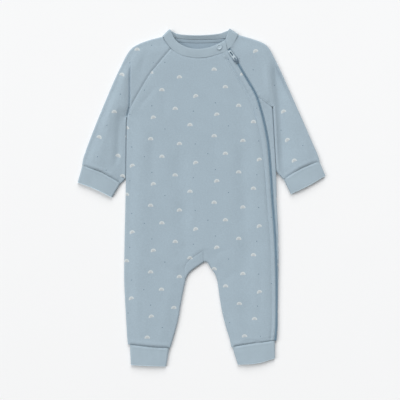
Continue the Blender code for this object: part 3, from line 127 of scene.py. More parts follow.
# Outlines, each a smooth line through its rows of (x, y).
LEFT_SIDE = (
    (-134.5, 141.3), (-135.3, 85), (-135.9, 35), (-136.8, -15), (-138.2, -76.5), (-139, -139.5),
    (-137.7, -177), (-135.9, -210), (-134.1, -242), (-132.3, -264),
)
RIGHT_SIDE = (
    (127.8, 161), (129.6, 130.5), (132.1, 82), (134.4, 40.5), (135.3, -6), (137.6, -58.5), (138.6, -112.5),
    (137.9, -166.5), (137.4, -204), (137.2, -236), (135.4, -256.5),
)
CROTCH_ARCH = (
    (-28, -146.2), (-22.5, -135.7), (-12.6, -127.4), (-3, -121), (8.2, -115.2), (15.5, -125),
    (24.2, -137.5), (28.8, -150.3),
)
LEFT_INSEAM = (
    (-28, -146.2), (-32.4, -166.5), (-36.9, -190), (-41.4, -217), (-47.7, -242), (-56.2, -270.5),
)
RIGHT_INSEAM = (
    (28.8, -150.3), (33.3, -182.7), (37.8, -208), (44.1, -233), (50.4, -253), (53.8, -269),
)
LEFT_HEM = ((-132.3, -264), (-107, -266.6), (-81, -269), (-56.2, -270.5))
RIGHT_HEM = ((53.8, -269), (80, -263.6), (107, -260), (135.4, -256.5))
NECK_FRONT = (
    (-69.9, 289.2), (-62.6, 278), (-54.9, 268.2), (-45.2, 260.5), (-33.3, 255.2), (-16.7, 251.6),
    (-1.8, 250.9), (13.1, 252.7), (27.9, 256.9), (40, 261.2), (49, 266.3),
)
NECK_FRONT_RIGHT = ((54.4, 270.6), (60, 280.8), (66, 292.5))
NECK_BACK = (
    (-69.9, 289.2), (-58, 288.4), (-47.3, 287), (-36.2, 285.2), (-9.4, 283.7), (20.5, 284.4),
    (41.4, 286.2), (54, 289.2), (66, 292.5),
)
RAGLAN_LEFT = (
    (-134.5, 141.3), (-131, 155), (-122.4, 172.6), (-108.9, 196.2), (-93.1, 222), (-74.7, 244.8),
    (-54.9, 268.2),
)
RAGLAN_RIGHT_TOP_Y = 179.6
RAGLAN_RIGHT = ((101.8, 181.4), (114.6, 171.6), (127.8, 161))
RAGLAN_BACK_LEFT = (
    (-134.5, 141.3), (-131, 155), (-121, 180), (-102, 217), (-77, 254), (-47.3, 287),
)
RAGLAN_BACK_RIGHT = (
    (127.8, 161), (119.5, 178), (107, 200), (86, 233), (66, 261), (41.4, 286.2),
)
ZIP_LINE = (
    (49.5, 267), (56.7, 254.9), (66, 239.8), (75.8, 223), (85, 207.6), (93.2, 193.5), (99.8, 180),
    (104.6, 165), (109.6, 147), (115.6, 121), (120.4, 91.8), (124.2, 47.7), (127.6, -6), (131, -50),
    (133.6, -97.7), (134.9, -152.8), (135.2, -204), (134.4, -236), (132.6, -257),
)
SLEEVE_LEFT_OUTER = (
    (-69.9, 289.2), (-92.7, 283.3), (-112.5, 276), (-126, 267.6), (-135.9, 253.8), (-144.4, 236.5),
    (-156.6, 211), (-171.9, 175.2), (-186.3, 140.5), (-200.7, 104), (-211.5, 74), (-214.8, 58.3),
)
SLEEVE_RIGHT_OUTER = (
    (66, 292.5), (87.3, 286.2), (101.5, 281.6), (114.3, 275.4), (122.6, 266.2), (131.5, 249.5),
    (143.1, 226), (157.5, 193.6), (171.9, 161), (185.5, 130.5), (198, 101.5), (208.2, 78.5), (212.6, 65.5),
)
SLEEVE_LEFT_LEAVES = (-136.3, 34.2)
SLEEVE_RIGHT_LEAVES = (135.7, 45)
WRIST_LEFT = ((-214.8, 58.3), (-180, 46.4), (-144.9, 25.2))
WRIST_RIGHT = ((212.6, 65.5), (181.2, 54), (146.7, 32.6))
CUFF_SLEEVE_LEFT = ((-222.9, 26.8), (-192.5, 15.4), (-161.1, 0))
CUFF_SLEEVE_RIGHT = ((222.9, 39), (191.5, 20.8), (160.6, 5.9))
CUFF_LEG_LEFT = ((-126.9, -301.2), (-96, -302.6), (-63.4, -303.6))
CUFF_LEG_RIGHT = ((132.3, -289), (99.7, -298.2), (65.3, -300.4))

# Stitches: distances from a seam, and from the zip's middle at heights y.
COVER_ROWS = (1.6, 5.4)
SIDE_COVER_ROWS = (1.8, 4.4)
TOPSTITCH_LEFT = ((-257, -8), (-50, -9), (60, -10.5), (180, -12.5), (267, -13.5))
TOPSTITCH_SHIFTS = (0, 2.4)
TOPSTITCH_RIGHT = 6.5
TOPSTITCH_RIGHT_ABOVE_Y = 168.0
HEM_PUCKER = ((76, -259.2), (88, -257.2), (100, -257.4), (112, -254.2), (122, -253), (130, -251.8))

# What the sheets are cut to, in metres where it isn't measured on the piece.
ON_BACK = ("back_panel",)
LEAST_CUT = 0.01
TAPE_CUT = 0.0101  # with its edges turned under
LEAST_FILL = 0.301

# The nap of brushed cotton.
NAP = {
    "Sheen Weight": 0.25,
    "Sheen Roughness": 0.6,
    "Sheen Tint": (0.85, 0.92, 1.0),
    "Specular IOR Level": 0.25,
}

# Print: one repeat of double arcs (x, y, lean in degrees) and dots (x, y).
REPEAT_X, REPEAT_Y, REPEAT_RISE = 114, 119.5, 5.4
ARCS = (
    (-124.2, 56, 20), (-86.4, 23, 13), (-20.7, 9.5, 0), (-91.3, -15.7, 0), (-39.6, -24.2, 5),
    (-71.1, -47.2, 0), (-47.2, 38.8, 0),
)
CHEST_BARE = (-34, 14.5, 193, 262)  # lowest and highest u, then v
SLEEVES_BARE = (
    (285, 330, -80, 340), (236, 262, 106, 176), (-103, -75, 254, 284), (-87, -65, 302, 325),
    (240, 261, 233, 254),
)
DOTS = ((-125.3, -28.8), (-102.6, -46.3), (-89.1, 45), (-128.7, 30.1), (-65.7, 3.6))


@dataclass(frozen=True)
class Crease:
    """A soft trough in the cloth along a line, or a ridge where its depth is negative."""

    path: Table
    half_width: float  # to where it is nearly gone
    depth: float
    power: float = 0.6  # how fast it dies out at its ends; a small number keeps it deep for longer


@dataclass(frozen=True)
class Tuck:
    """A ledge in the cloth, which has slipped down on one side of a line from the shoulder."""

    path: Table
    depth: float
    edge: float  # width of the slope on which it drops
    reach: float  # how far beyond it the cloth has risen again
    side: float  # 1 where it drops on the left of the way along the line, -1 where on the right
    last: float = 1.0  # what is left of the depth at the line's lower end

    def drop(self, plan: Points) -> np.ndarray:
        """Finds how far the cloth drops at points of the plan.

        Args:
            plan: rows of (x, y).

        Returns:
            The drop at each of them.
        """
        line = smooth_line(self.path)
        foot, at = nearest_on(line, plan)
        offset = plan - foot
        beyond = (offset * along_with(line, left_normals(line), at)).sum(axis=1) * self.side
        apart = np.maximum(norm(offset, axis=1) - self.edge, 0)
        fade = ease(at / 0.22) * (1.0 - (1.0 - self.last) * ease((at - 0.78) / 0.22))
        return self.depth * ease(beyond / self.edge) * np.exp(-((apart / self.reach) ** 2)) * fade


TUCKS = (
    Tuck(
        ((-126, 256), (-127, 232), (-127.6, 212), (-127.6, 190), (-128.2, 168), (-130.6, 154), (-134.2, 143)),
        2.3,
        1,
        7,
        -1,
        0.35,
    ),
    Tuck(
        ((118.5, 262), (121, 236), (123, 212), (125, 190), (128.3, 166), (130, 145), (133, 95), (135.9, 45)),
        4.7,
        12.5,
        18,
        1,
        0.6,
    ),
)
FRONT_CREASES = (
    Crease(((-50, 130), (-38, 60), (-33, 0), (-31, -60), (-34, -128)), 22, 2.3),
    Crease(((68, 176), (74, 60), (79, -60), (82, -236)), 20, 2.15),
    Crease(((12, -20), (44, -66), (80, -124)), 14, 0.9),
    Crease(((-72, 196), (-66, 165), (-63, 136)), 11, 0.8),
    Crease(((-88, 120), (-89, 75), (-88, 20)), 12, 0.9),
    Crease(((-146, 176), (-148, 120), (-155, 56)), 9, 1.2),
    Crease(((117, 244), (118.6, 212), (120.6, 190), (123.5, 170)), 6, -0.9, 0.5),
    Crease(((-108, 120), (-109, 0), (-111, -120), (-108, -240)), 24, -1.6, 0.3),
    Crease(((-118, 262), (-142, 222), (-168, 150), (-190, 84), (-197, 54)), 31, -3, 0.5),
    Crease(((156, 196), (170, 158), (192, 92), (198, 60)), 24, -2, 0.5),
)
SMALL_CREASES = (
    Crease(
        ((-128.2, 232), (-128.9, 212), (-128.9, 190), (-129.5, 168), (-131.8, 155), (-135, 143)),
        2.1,
        3.1,
        0.3,
    ),
    Crease(((-116, 158), (-100, 176), (-80, 202)), 6, 0.5),
    Crease(((-20, 40), (-16, -20), (-20, -88)), 9, -0.5),
    Crease(((20, 160), (24, 90), (22, 30)), 10, 0.45),
    Crease(((-8, -110), (-30, -92), (-58, -84)), 7, 0.35),
    Crease(((14, -112), (36, -96), (60, -94)), 7.5, 0.35),
    Crease(((-34, -150), (-52, -132), (-74, -120)), 7, 0.3),
    Crease(((34, -156), (52, -140), (72, -130)), 7, 0.3),
    Crease(((-112, -150), (-106, -190), (-108, -232)), 9, 0.7),
    Crease(((104, -120), (106, -170), (102, -226)), 8, 0.6),
    Crease(((84, 150), (96, 90), (103, 20)), 8, -0.6),
    Crease(((-118, -20), (-113, -60), (-116, -104)), 8, 0.5),
    Crease(((-166, 168), (-176, 128), (-190, 84)), 9, 0.8),
    Crease(((-150, 200), (-158, 160), (-160, 120)), 8, 0.5),
    Crease(((-146, 100), (-152, 70), (-160, 52)), 7, 0.8),
    Crease(((160, 150), (172, 118), (184, 80)), 9, 0.7),
    Crease(((92, 262), (104, 240), (112, 214)), 8, 0.6),
    Crease(((-96, 268), (-104, 246), (-110, 222)), 8, 0.6),
)
BACK_CREASES = (
    Crease(((-60, 150), (-52, 40), (-56, -90)), 14, 0.9),
    Crease(((48, 120), (56, 0), (50, -120)), 13, 0.8),
    Crease(((0, 210), (6, 120), (-4, 30)), 12, 0.6),
    Crease(((-90, -130), (-86, -180), (-92, -230)), 10, 0.7),
    Crease(((92, -120), (88, -180), (94, -228)), 10, 0.7),
    Crease(((-140, 190), (-158, 140), (-172, 92)), 10, 0.8),
    Crease(((138, 196), (154, 150), (168, 98)), 10, 0.8),
)


def smooth_line(points: Table, steps: int = 10) -> Points:
    """Puts a smooth line through the points of a table.

    Args:
        points: rows of coordinates.
        steps: new points from each row to the next.

    Returns:
        The points of the line.
    """
    p = np.array(points, float)
    ends = np.vstack((2 * p[0] - p[1], p, 2 * p[-1] - p[-2]))
    t = np.linspace(0.0, 1.0, steps, endpoint=False)[:, None]
    spans = []
    for a, b, c, d in zip(ends, ends[1:], ends[2:], ends[3:]):
        curve = (c - a) * t + (2 * a - 5 * b + 4 * c - d) * t**2 + (3 * b - a - 3 * c + d) * t**3
        spans.append(b + 0.5 * curve)
    return np.vstack((*spans, p[-1:]))


def lengths(line: Points) -> np.ndarray:
    """Measures the distance along a line to each of its points."""
    return np.concatenate(([0.0], np.cumsum(norm(np.diff(line, axis=0), axis=1))))


def along(line: Points, fractions: np.ndarray) -> Points:
    """Finds the points at fractions of a line's length."""
    return along_with(line, line, fractions)


def along_with(line: Points, values: np.ndarray, fractions: np.ndarray) -> np.ndarray:
    """Reads values given at a line's points, at fractions of its length.

    Args:
        line: the points of the line.
        values: a row for each of them.
        fractions: from 0 to 1.

    Returns:
        A row for each fraction.
    """
    run = lengths(line)
    at = np.asarray(fractions) * run[-1]
    return np.column_stack([np.interp(at, run, axis) for axis in values.T])


def even(line: Points, spans: int) -> Points:
    """Places evenly spaced points along a line, both ends included."""
    return along(line, np.linspace(0.0, 1.0, spans + 1))


def at_y(line: Points, y: float) -> float:
    """Finds the fraction of a line's length where it passes a height y.

    Args:
        line: the points of the line.
        y: the height to look for.

    Returns:
        The fraction, from 0 to 1.
    """
    order = np.argsort(line[:, 1])
    run = lengths(line)
    return float(np.interp(y, line[order, 1], run[order]) / run[-1])


def between(line: Points, start: float, end: float, spans: int) -> Points:
    """Places evenly spaced points from one fraction of a line to another."""
    return along(line, np.linspace(start, end, spans + 1))


def unit(ways: Points) -> Points:
    """Scales vectors to unit length."""
    return ways / norm(ways, axis=-1, keepdims=True)


def left_normals(line: Points) -> Points:
    """Finds unit vectors to the left of the way along a line."""
    way = unit(np.gradient(line, axis=0))
    return np.column_stack((-way[:, 1], way[:, 0]))


def moved(line: Points, distance: float) -> Points:
    """Moves a line to its left."""
    return line + left_normals(line) * distance


def ease(t: np.ndarray) -> np.ndarray:
    """Steps smoothly from 0 to 1."""
    t = np.clip(t, 0.0, 1.0)
    return t * t * (3.0 - 2.0 * t)


def over_edge(distance: np.ndarray) -> np.ndarray:
    """Measures over the cloth to the tip of a folded edge, from a distance in the plan."""
    lean = np.arccos(np.clip(1.0 - distance / EDGE_RADIUS, 0.0, 1.0))
    return np.where(distance < EDGE_RADIUS, EDGE_RADIUS * lean, distance - EDGE_RADIUS + QUARTER_TURN)


def nearest_on(line: Points, plan: Points) -> tuple[Points, np.ndarray]:
    """Finds the nearest point of a line to each point of the plan.

    Args:
        line: the points of the line.
        plan: rows of (x, y).

    Returns:
        The nearest points, and the fraction of the line before each.
    """
    start, step = line[:-1], np.diff(line, axis=0)
    square = np.maximum((step**2).sum(axis=1), 1e-12)
    run = lengths(line)
    feet, at = [], []
    for some in np.array_split(plan, len(plan) // 4000 + 1):
        t = np.clip(((some[:, None, :] - start) * step).sum(axis=2) / square, 0.0, 1.0)
        near = start + t[..., None] * step
        best = ((some[:, None, :] - near) ** 2).sum(axis=2).argmin(axis=1)
        rows = np.arange(len(some))
        feet.append(near[rows, best])
        at.append((run[:-1][best] + t[rows, best] * np.diff(run)[best]) / run[-1])
    return np.vstack(feet), np.concatenate(at)


def net(low: Points, high: Points, left: Points, right: Points) -> Points:
    """Fills four lines that share their corners with rows and columns of points.

    Args:
        low: the first row, with a point for each column.
        high: the last row.
        left: the first column, with a point for each row.
        right: the last column.

    Returns:
        The points, by row and column.
    """
    u = (lengths(low) / lengths(low)[-1])[None, :, None]
    v = (lengths(left) / lengths(left)[-1])[:, None, None]
    across = (1 - v) * low[None] + v * high[None]
    up = (1 - u) * left[:, None] + u * right[:, None]
    corners = (1 - v) * ((1 - u) * low[0] + u * low[-1]) + v * ((1 - u) * high[0] + u * high[-1])
    return across + up - corners


@dataclass
class Net:
    """Rows and columns of points on the two faces of a piece of cloth."""

    outer: Points
    inner: Points
    grain: Points  # where each point lies on the flat panel, along its courses and its wales

    def __getitem__(self, part: slice | tuple[slice, slice]) -> "Net":
        """Takes some rows and columns."""
        return Net(self.outer[part], self.inner[part], self.grain[part])

    @staticmethod
    def joined(parts: Iterable["Net"], join: Callable[..., Points] = np.concatenate) -> "Net":
        """Joins nets side by side, or single columns of points with np.stack."""
        faces = zip(*((part.outer, part.inner, part.grain) for part in parts))
        return Net(*(join(face, axis=1) for face in faces))

    def then(self, last: "Net") -> "Net":
        """Adds the columns that this net runs into."""
        return Net.joined((self, last))

    def across(self) -> "Net":
        """Swaps the rows and the columns."""
        return Net(*(np.swapaxes(a, 0, 1) for a in (self.outer, self.inner, self.grain)))

    def regrained(self, change: Callable[[Points], Points]) -> "Net":
        """Moves the net's places on the flat panel."""
        return Net(self.outer, self.inner, change(self.grain))

    def ribbed(self, depth: float) -> "Net":
        """Sinks rounded grooves into the outer face, with a rib for each pitch along the courses.

        Args:
            depth: of the grooves.

        Returns:
            The ribbed net.
        """
        wave = 0.5 - 0.5 * np.cos(2 * np.pi * self.grain[..., :1] / RIB_PITCH)
        inward = self.inner - self.outer
        inward = inward / np.maximum(norm(inward, axis=-1, keepdims=True), 1e-9)
        return Net(self.outer + inward * depth * wave, self.inner, self.grain)


def raised(plan: Points, height: np.ndarray | float) -> Points:
    """Adds heights to points of the plan."""
    return np.concatenate((plan, np.broadcast_to(height, plan.shape[:-1])[..., None]), axis=-1)


def turned(feet: Points, ways: Points, sign: float, radius: float = EDGE_RADIUS, wall: float = CLOTH) -> Net:
    """Turns cloth round a folded edge, from its tip up to where it runs into a layer.

    Args:
        feet: points of the edge.
        ways: vectors from them into the cloth, of about unit length.
        sign: 1 for the upper layer, -1 for the lower one.
        radius: of the cloth's outer face.
        wall: the cloth's thickness.

    Returns:
        A net with a row for each foot and a column for each angle.
    """
    angles = np.radians(TURN_DEGREES)
    turn = angles[None, :, None]
    feet, ways = feet[:, None, :], ways[:, None, :]
    faces = (
        raised(feet + ways * (radius - size * np.cos(turn)), radius + sign * size * np.sin(angles))
        for size in (radius, radius - wall)
    )
    return Net(*faces, feet + ways * radius * (1.0 - math.pi / 2 + turn))


def settled(ways: Points, end: Points, line: Points, run: float, last: bool = True) -> Points:
    """Turns the ways at one end of an edge towards a given one.

    Args:
        ways: a vector for each point.
        end: the way to reach at the end.
        line: the points.
        run: how far from the end the change reaches.
        last: whether it is the last end, or else the first.

    Returns:
        The new ways.
    """
    from_start = lengths(line)
    distance = from_start[-1] - from_start if last else from_start
    share = ease(1.0 - distance / run)[:, None]
    return ways * (1 - share) + np.asarray(end) * share


@dataclass(frozen=True)
class Fold:
    """A line in the plan where the cloth turns under, with the radius it turns round."""

    line: Points
    radius: float


@dataclass(frozen=True)
class Seam:
    """A sewn line that pulls the cloth down into a valley and puckers it a little."""

    line: Points
    depth: float
    half_width: float = 2.0
    pucker: float = 0.0  # height of the small waves beside it
    wave: float = 9.0  # their length along the seam
    reach: float = 6.0  # how far from it they die out

    def height(self, plan: Points) -> np.ndarray:
        """Finds what the seam adds to the cloth's height at points of the plan.

        Args:
            plan: rows of (x, y).

        Returns:
            What it adds at each of them.
        """
        foot, at = nearest_on(self.line, plan)
        apart = norm(plan - foot, axis=1)
        run = at * lengths(self.line)[-1]
        uneven = run + 2.2 * np.sin(run / 17.0) + 1.4 * np.sin(run / 7.3 + 1.0)
        size = self.pucker * (0.6 + 0.4 * np.sin(run / 23.0 + self.depth * 9.0))
        waves = size * np.cos(2 * np.pi * uneven / self.wave) * np.exp(-apart / self.reach)
        return waves - self.depth * np.exp(-((apart / self.half_width) ** 2))


class Lay:
    """The laid garment's lines, and the height of its cloth over every point of the plan."""

    def __init__(self) -> None:
        """Draws the lines through their tables."""
        self.left_side, self.right_side = smooth_line(LEFT_SIDE), smooth_line(RIGHT_SIDE)
        self.arch, self.zip = smooth_line(CROTCH_ARCH), smooth_line(ZIP_LINE)
        self.left_inseam, self.right_inseam = smooth_line(LEFT_INSEAM), smooth_line(RIGHT_INSEAM)
        self.left_sleeve_outer = smooth_line(SLEEVE_LEFT_OUTER)
        self.right_sleeve_outer = smooth_line(SLEEVE_RIGHT_OUTER)
        self.left_sleeve_inner = self.sleeve_inner(self.left_side, SLEEVE_LEFT_LEAVES, -SLIT_GAP)
        self.right_sleeve_inner = self.sleeve_inner(self.right_side, SLEEVE_RIGHT_LEAVES, RIGHT_SLIT_GAP)
        full = [self.left_side, self.right_side, self.arch, self.left_inseam, self.right_inseam]
        full += [self.left_sleeve_outer, self.right_sleeve_outer]
        self.folds = [Fold(line, EDGE_RADIUS) for line in full]
        inners = ((self.left_sleeve_inner, WRIST_LEFT), (self.right_sleeve_inner, WRIST_RIGHT))
        for (inner, wrist), radius in zip(inners, INNER_RADII):
            self.folds.append(Fold(np.vstack((inner, wrist[-1])), radius))
        raglan = smooth_line(RAGLAN_LEFT)
        self.seams = [
            Seam(raglan, 1.1, 2.2, 0.16, 9.0, 7.0),
            Seam(moved(raglan, -COVER_ROWS[-1]), 0.22, 1.0),
            Seam(smooth_line(RAGLAN_RIGHT), 0.7, 1.8, 0.16, 9.0, 6.0),
            Seam(moved(self.zip, -ZIP_WIDTH / 2), 0.35, 1.6, 0.2, 11.0, 8.0),
            Seam(moved(self.zip, ZIP_WIDTH / 2), 0.35, 1.6, 0.16, 10.0, 6.0),
            Seam(self.beside(self.zip, TOPSTITCH_LEFT)[9:], 1.6, 1.6, 0.2, 7.0, 5.0),
            Seam(self.beside(self.zip, [(y, d / 2 - 1.0) for y, d in TOPSTITCH_LEFT]), -0.8, 3.2),
            Seam(smooth_line(NECK_FRONT), 0.35, 2.0, 0.16, 10.0, 8.0),
            Seam(smooth_line(NECK_FRONT_RIGHT), -0.8, 3.0),
            Seam(smooth_line(HEM_PUCKER), 1.4, 1.5),
        ]
        for table, depth in ((WRIST_LEFT, 1.1), (WRIST_RIGHT, 1.1), (LEFT_HEM, 1.7), (RIGHT_HEM, 1.7)):
            line = smooth_line(table)
            self.seams.append(Seam(line, depth, 1.7, 0.3, 8.0 + depth, 9.0))
            self.seams.append(Seam(line + (0.0, 4.6), -0.35 * depth, 3.2))

    @staticmethod
    def sleeve_inner(side: Points, leaves: Pair, gap: float) -> Points:
        """Draws a sleeve's inner fold, beside the body from the armpit to where the sleeve leaves it.

        Args:
            side: the body's side line.
            leaves: where the sleeve leaves the body.
            gap: how far the fold lies from the side, positive to the right.

        Returns:
            The points of the fold.
        """
        near = side[side[:, 1] > leaves[1]].copy()
        near[1:, 0] += gap
        near[0] += (math.copysign(SEAM_GAP, gap), SEAM_GAP / 2)
        return np.vstack((near, leaves))

    @staticmethod
    def beside(line: Points, table: Table) -> Points:
        """Moves a line to its left by distances given for heights y."""
        rows = np.array(sorted(table))
        return line + left_normals(line) * np.interp(line[:, 1], rows[:, 0], rows[:, 1])[:, None]

    def near_fold(self, plan: Points) -> tuple[np.ndarray, Points, np.ndarray]:
        """Finds each point's distance from the nearest fold, the way from it, and its radius.

        Args:
            plan: rows of (x, y).

        Returns:
            For each of them the distance, the way and the radius.
        """
        distance = np.full(len(plan), np.inf)
        way = np.zeros_like(plan)
        radius = np.full(len(plan), EDGE_RADIUS)
        for fold in self.folds:
            foot, _ = nearest_on(fold.line, plan)
            offset = plan - foot
            apart = norm(offset, axis=1)
            closer = apart < distance - 1e-6
            distance[closer] = apart[closer]
            way[closer] = offset[closer] / np.maximum(apart[closer], 1e-9)[:, None]
            radius[closer] = fold.radius
        return distance, way, radius

    @staticmethod
    def crease_depth(plan: Points, creases: Sequence[Crease]) -> np.ndarray:
        """Adds up how deep creases are at points of the plan.

        Args:
            plan: rows of (x, y).
            creases: what to add up.

        Returns:
            The depth at each point.
        """
        depth = np.zeros(len(plan))
        for crease in creases:
            line = smooth_line(crease.path)
            foot, at = nearest_on(line, plan)
            offset = plan - foot
            across = norm(offset, axis=1) / crease.half_width
            fade = np.sin(np.pi * np.clip(at, 0.02, 0.98)) ** crease.power
            uneven = 1.0 + 0.22 * np.sin(at * lengths(line)[-1] / 15.0 + crease.half_width)
            depth += crease.depth * np.exp(-2.0 * across**2) * fade * uneven
        return depth

    @staticmethod
    def ease_of_cloth(plan: Points) -> np.ndarray:
        """Finds the slow unevenness of soft cloth that was smoothed out by hand.

        Args:
            plan: rows of (x, y).

        Returns:
            The height that it adds at each of them.
        """
        x, y = plan.T
        slow = np.sin(x / 17.0 + 1.3 * np.sin(y / 29.0)) * np.sin(y / 23.0 + 0.8 * np.sin(x / 21.0) + 0.6)
        quick = np.sin(x / 8.1 + y / 13.0 + np.sin(y / 19.0)) * np.sin(y / 10.5 - x / 31.0 + 2.0)
        return 0.26 * slow + 0.1 * quick

    def upper(self, plan: Points) -> Net:
        """Lays the upper layer over points of the plan.

        Args:
            plan: points with x and y last.

        Returns:
            The layer's net.
        """
        shape = plan.shape[:-1]
        flat = plan.reshape(-1, 2)
        distance, way, radius = self.near_fold(flat)
        z = 2 * radius + (MIDDLE_HEIGHT - 2 * radius) * ease((distance - radius) / CROWN_RUN)
        z -= self.crease_depth(flat, FRONT_CREASES) * ease((distance - radius) / FOLD_FADE)
        z -= sum(tuck.drop(flat) for tuck in TUCKS) * ease((distance - radius + 1.0) / 5.0)
        small = self.ease_of_cloth(flat) - self.crease_depth(flat, SMALL_CREASES)
        small += sum(seam.height(flat) for seam in self.seams)
        z += small * ease((distance - radius + 1.0) / 5.0)
        outer = np.column_stack((flat, z))
        inner = np.column_stack((flat, z - CLOTH))
        turning = distance < radius
        lean = np.arccos(np.clip(1.0 - distance / radius, 0.0, 1.0))
        middle = flat + way * (radius - distance)[:, None]
        for face, size in ((outer, radius), (inner, radius - CLOTH)):
            face[turning, :2] = (middle - way * (size * np.cos(lean))[:, None])[turning]
            face[turning, 2] = (radius + size * np.sin(lean))[turning]
        return Net(outer.reshape(*shape, 3), inner.reshape(*shape, 3), plan)

    def lower(self, plan: Points) -> Net:
        """Lays the lower layer, which rests on the floor but for the shallow creases under it.

        Args:
            plan: points with x and y last.

        Returns:
            The layer's net.
        """
        flat = plan.reshape(-1, 2)
        distance, _, radius = self.near_fold(flat)
        lift = np.maximum(self.crease_depth(flat, BACK_CREASES), 0.0)
        rest = (lift * ease((distance - radius) / FOLD_FADE)).reshape(plan.shape[:-1])
        return Net(raised(plan, rest), raised(plan, rest + CLOTH), plan)

    def beside_zip(self, distance: float) -> Points:
        """Draws a line on the cloth beside the zip, measured over the folded edge where that is near.

        Args:
            distance: over the cloth to the zip's left.

        Returns:
            The points of the line.
        """
        line = self.zip
        straight = moved(line, distance)
        order = np.argsort(self.right_side[:, 1])
        edge_x = np.interp(line[:, 1], self.right_side[order, 1], self.right_side[order, 0])
        from_edge = edge_x - line[:, 0]
        run = over_edge(from_edge) - distance
        round_edge = EDGE_RADIUS * (1.0 - np.cos(np.clip(run, 0.0, QUARTER_TURN) / EDGE_RADIUS))
        back = np.where(run < QUARTER_TURN, round_edge, run - QUARTER_TURN + EDGE_RADIUS)
        near = (from_edge < ZIP_NEAR_EDGE) & (line[:, 1] < ZIP_NEAR_EDGE_BELOW_Y)
        straight[near, 0] = (edge_x - back)[near]
        straight[near, 1] = line[near, 1]
        return straight

    def zip_rows(self, distance: float) -> Points:
        """Follows the zip from the hem to the neck, with a point for each row of the pieces beside it.

        Args:
            distance: over the cloth to the zip's left.

        Returns:
            A point for each row.
        """
        crotch, raglan = at_y(self.zip, CROTCH_Y), at_y(self.zip, RAGLAN_RIGHT_TOP_Y)
        legs = np.linspace(1.0, crotch, LEG_ROWS + 1)
        trunk = np.linspace(crotch, raglan, LOWER_ROWS + 1)[1:]
        chest = np.linspace(raglan, 0.0, UPPER_ROWS + 1)[1:]
        return along(self.beside_zip(distance), np.concatenate((legs, trunk, chest)))

    def on_cloth(self, line: Points, lift: float) -> Points:
        """Raises a line of the plan onto the upper layer's outer face."""
        spots = self.upper(line)
        return spots.outer + (spots.outer - spots.inner) / CLOTH * lift


@dataclass
class Cloth:
    """A closed wall of cloth made of nets that share their border points."""

    nets: list[Net]

    def mesh(self, name: str) -> Mesh:
        """Makes the mesh: both faces, and a rim between them round every free edge.

        The outer face and the rim take the first material and the inner face the second. The UV map holds
        the grain in metres.

        Args:
            name: of the mesh.

        Returns:
            The mesh, in metres, with its faces pointing out.
        """
        quads, start = [], 0
        for piece in self.nets:
            rows, columns = piece.outer.shape[:2]
            at = np.arange(rows * columns).reshape(rows, columns) + start
            corners = (at[:-1, :-1], at[:-1, 1:], at[1:, 1:], at[1:, :-1])
            quads.append(np.stack(corners, axis=-1).reshape(-1, 4))
            start += rows * columns
        quad = np.vstack(quads)
        outer = np.vstack([n.outer.reshape(-1, 3) for n in self.nets])
        inner = np.vstack([n.inner.reshape(-1, 3) for n in self.nets])
        grain = np.vstack([n.grain.reshape(-1, 2) for n in self.nets])
        p = outer[quad]
        normal = np.cross(p[:, 2] - p[:, 0], p[:, 3] - p[:, 1])
        inwards = (normal * (p - inner[quad]).sum(axis=1)).sum(axis=1) < 0
        quad[inwards] = quad[inwards][:, ::-1]
        _, first, number = np.unique(np.round(outer, 3), axis=0, return_index=True, return_inverse=True)
        number = number.reshape(-1)
        faces = []
        for face in quad.tolist():
            kept = {number[n]: n for n in reversed(face)}
            if len(kept) > 2:
                faces.append([n for n in face if kept[number[n]] == n])
        count = len(first)
        sides: dict[tuple[int, int], tuple[int, int]] = {}
        for face in faces:
            for a, b in zip(face, face[1:] + face[:1]):
                pair = (int(number[a]), int(number[b]))
                if sides.pop((pair[1], pair[0]), None) is None:
                    sides[pair] = (a, b)
        outer_faces = [[int(number[n]) for n in face] for face in faces]
        inner_faces = [[count + n for n in reversed(face)] for face in outer_faces]
        rims = [[b, a, count + a, count + b] for a, b in sides]
        points = np.vstack((outer[first], inner[first])) - (0.0, MIDDLE_Y, 0.0)
        made = bpy.data.meshes.new(name)
        made.from_pydata((points * MM).tolist(), [], outer_faces + inner_faces + rims)
        places = [n for face in faces for n in face] + [n for face in faces for n in reversed(face)]
        places += [n for a, b in sides.values() for n in (b, a, a, b)]
        made.uv_layers.new(name="grain").data.foreach_set("uv", (grain[places] * MM).ravel())
        reverse = np.zeros(len(made.polygons), dtype=np.int32)
        reverse[len(outer_faces) : 2 * len(outer_faces)] = 1
        made.polygons.foreach_set("material_index", reverse)
        made.shade_smooth()
        made.set_sharp_from_angle(angle=math.radians(62.0))
        return made

    def cut_area(self) -> float:
        """Measures the flat area of the nets on their panel, in square metres.

        Returns:
            Its area in square metres.
        """
        total = 0.0
        for piece in self.nets:
            g = piece.grain
            one, two = g[1:, 1:] - g[:-1, :-1], g[1:, :-1] - g[:-1, 1:]
            total += np.abs(one[..., 0] * two[..., 1] - one[..., 1] * two[..., 0]).sum() / 2
        return float(total) * MM * MM

    def cut_size(self) -> Pair:
        """Measures the width and length that the panel is cut from, in metres.

        Returns:
            Its width and length in metres.
        """
        grain = np.vstack([n.grain.reshape(-1, 2) for n in self.nets])
        width, length = (grain.max(axis=0) - grain.min(axis=0)) * MM
        return float(width), float(length)

    def strip_cut(self, axis: int, spare: float) -> Pair:
        """Measures the cut of a bent strip as straight: its length is along one axis of the grain."""
        length = self.cut_size()[axis]
        return spare * self.cut_area() / length, length


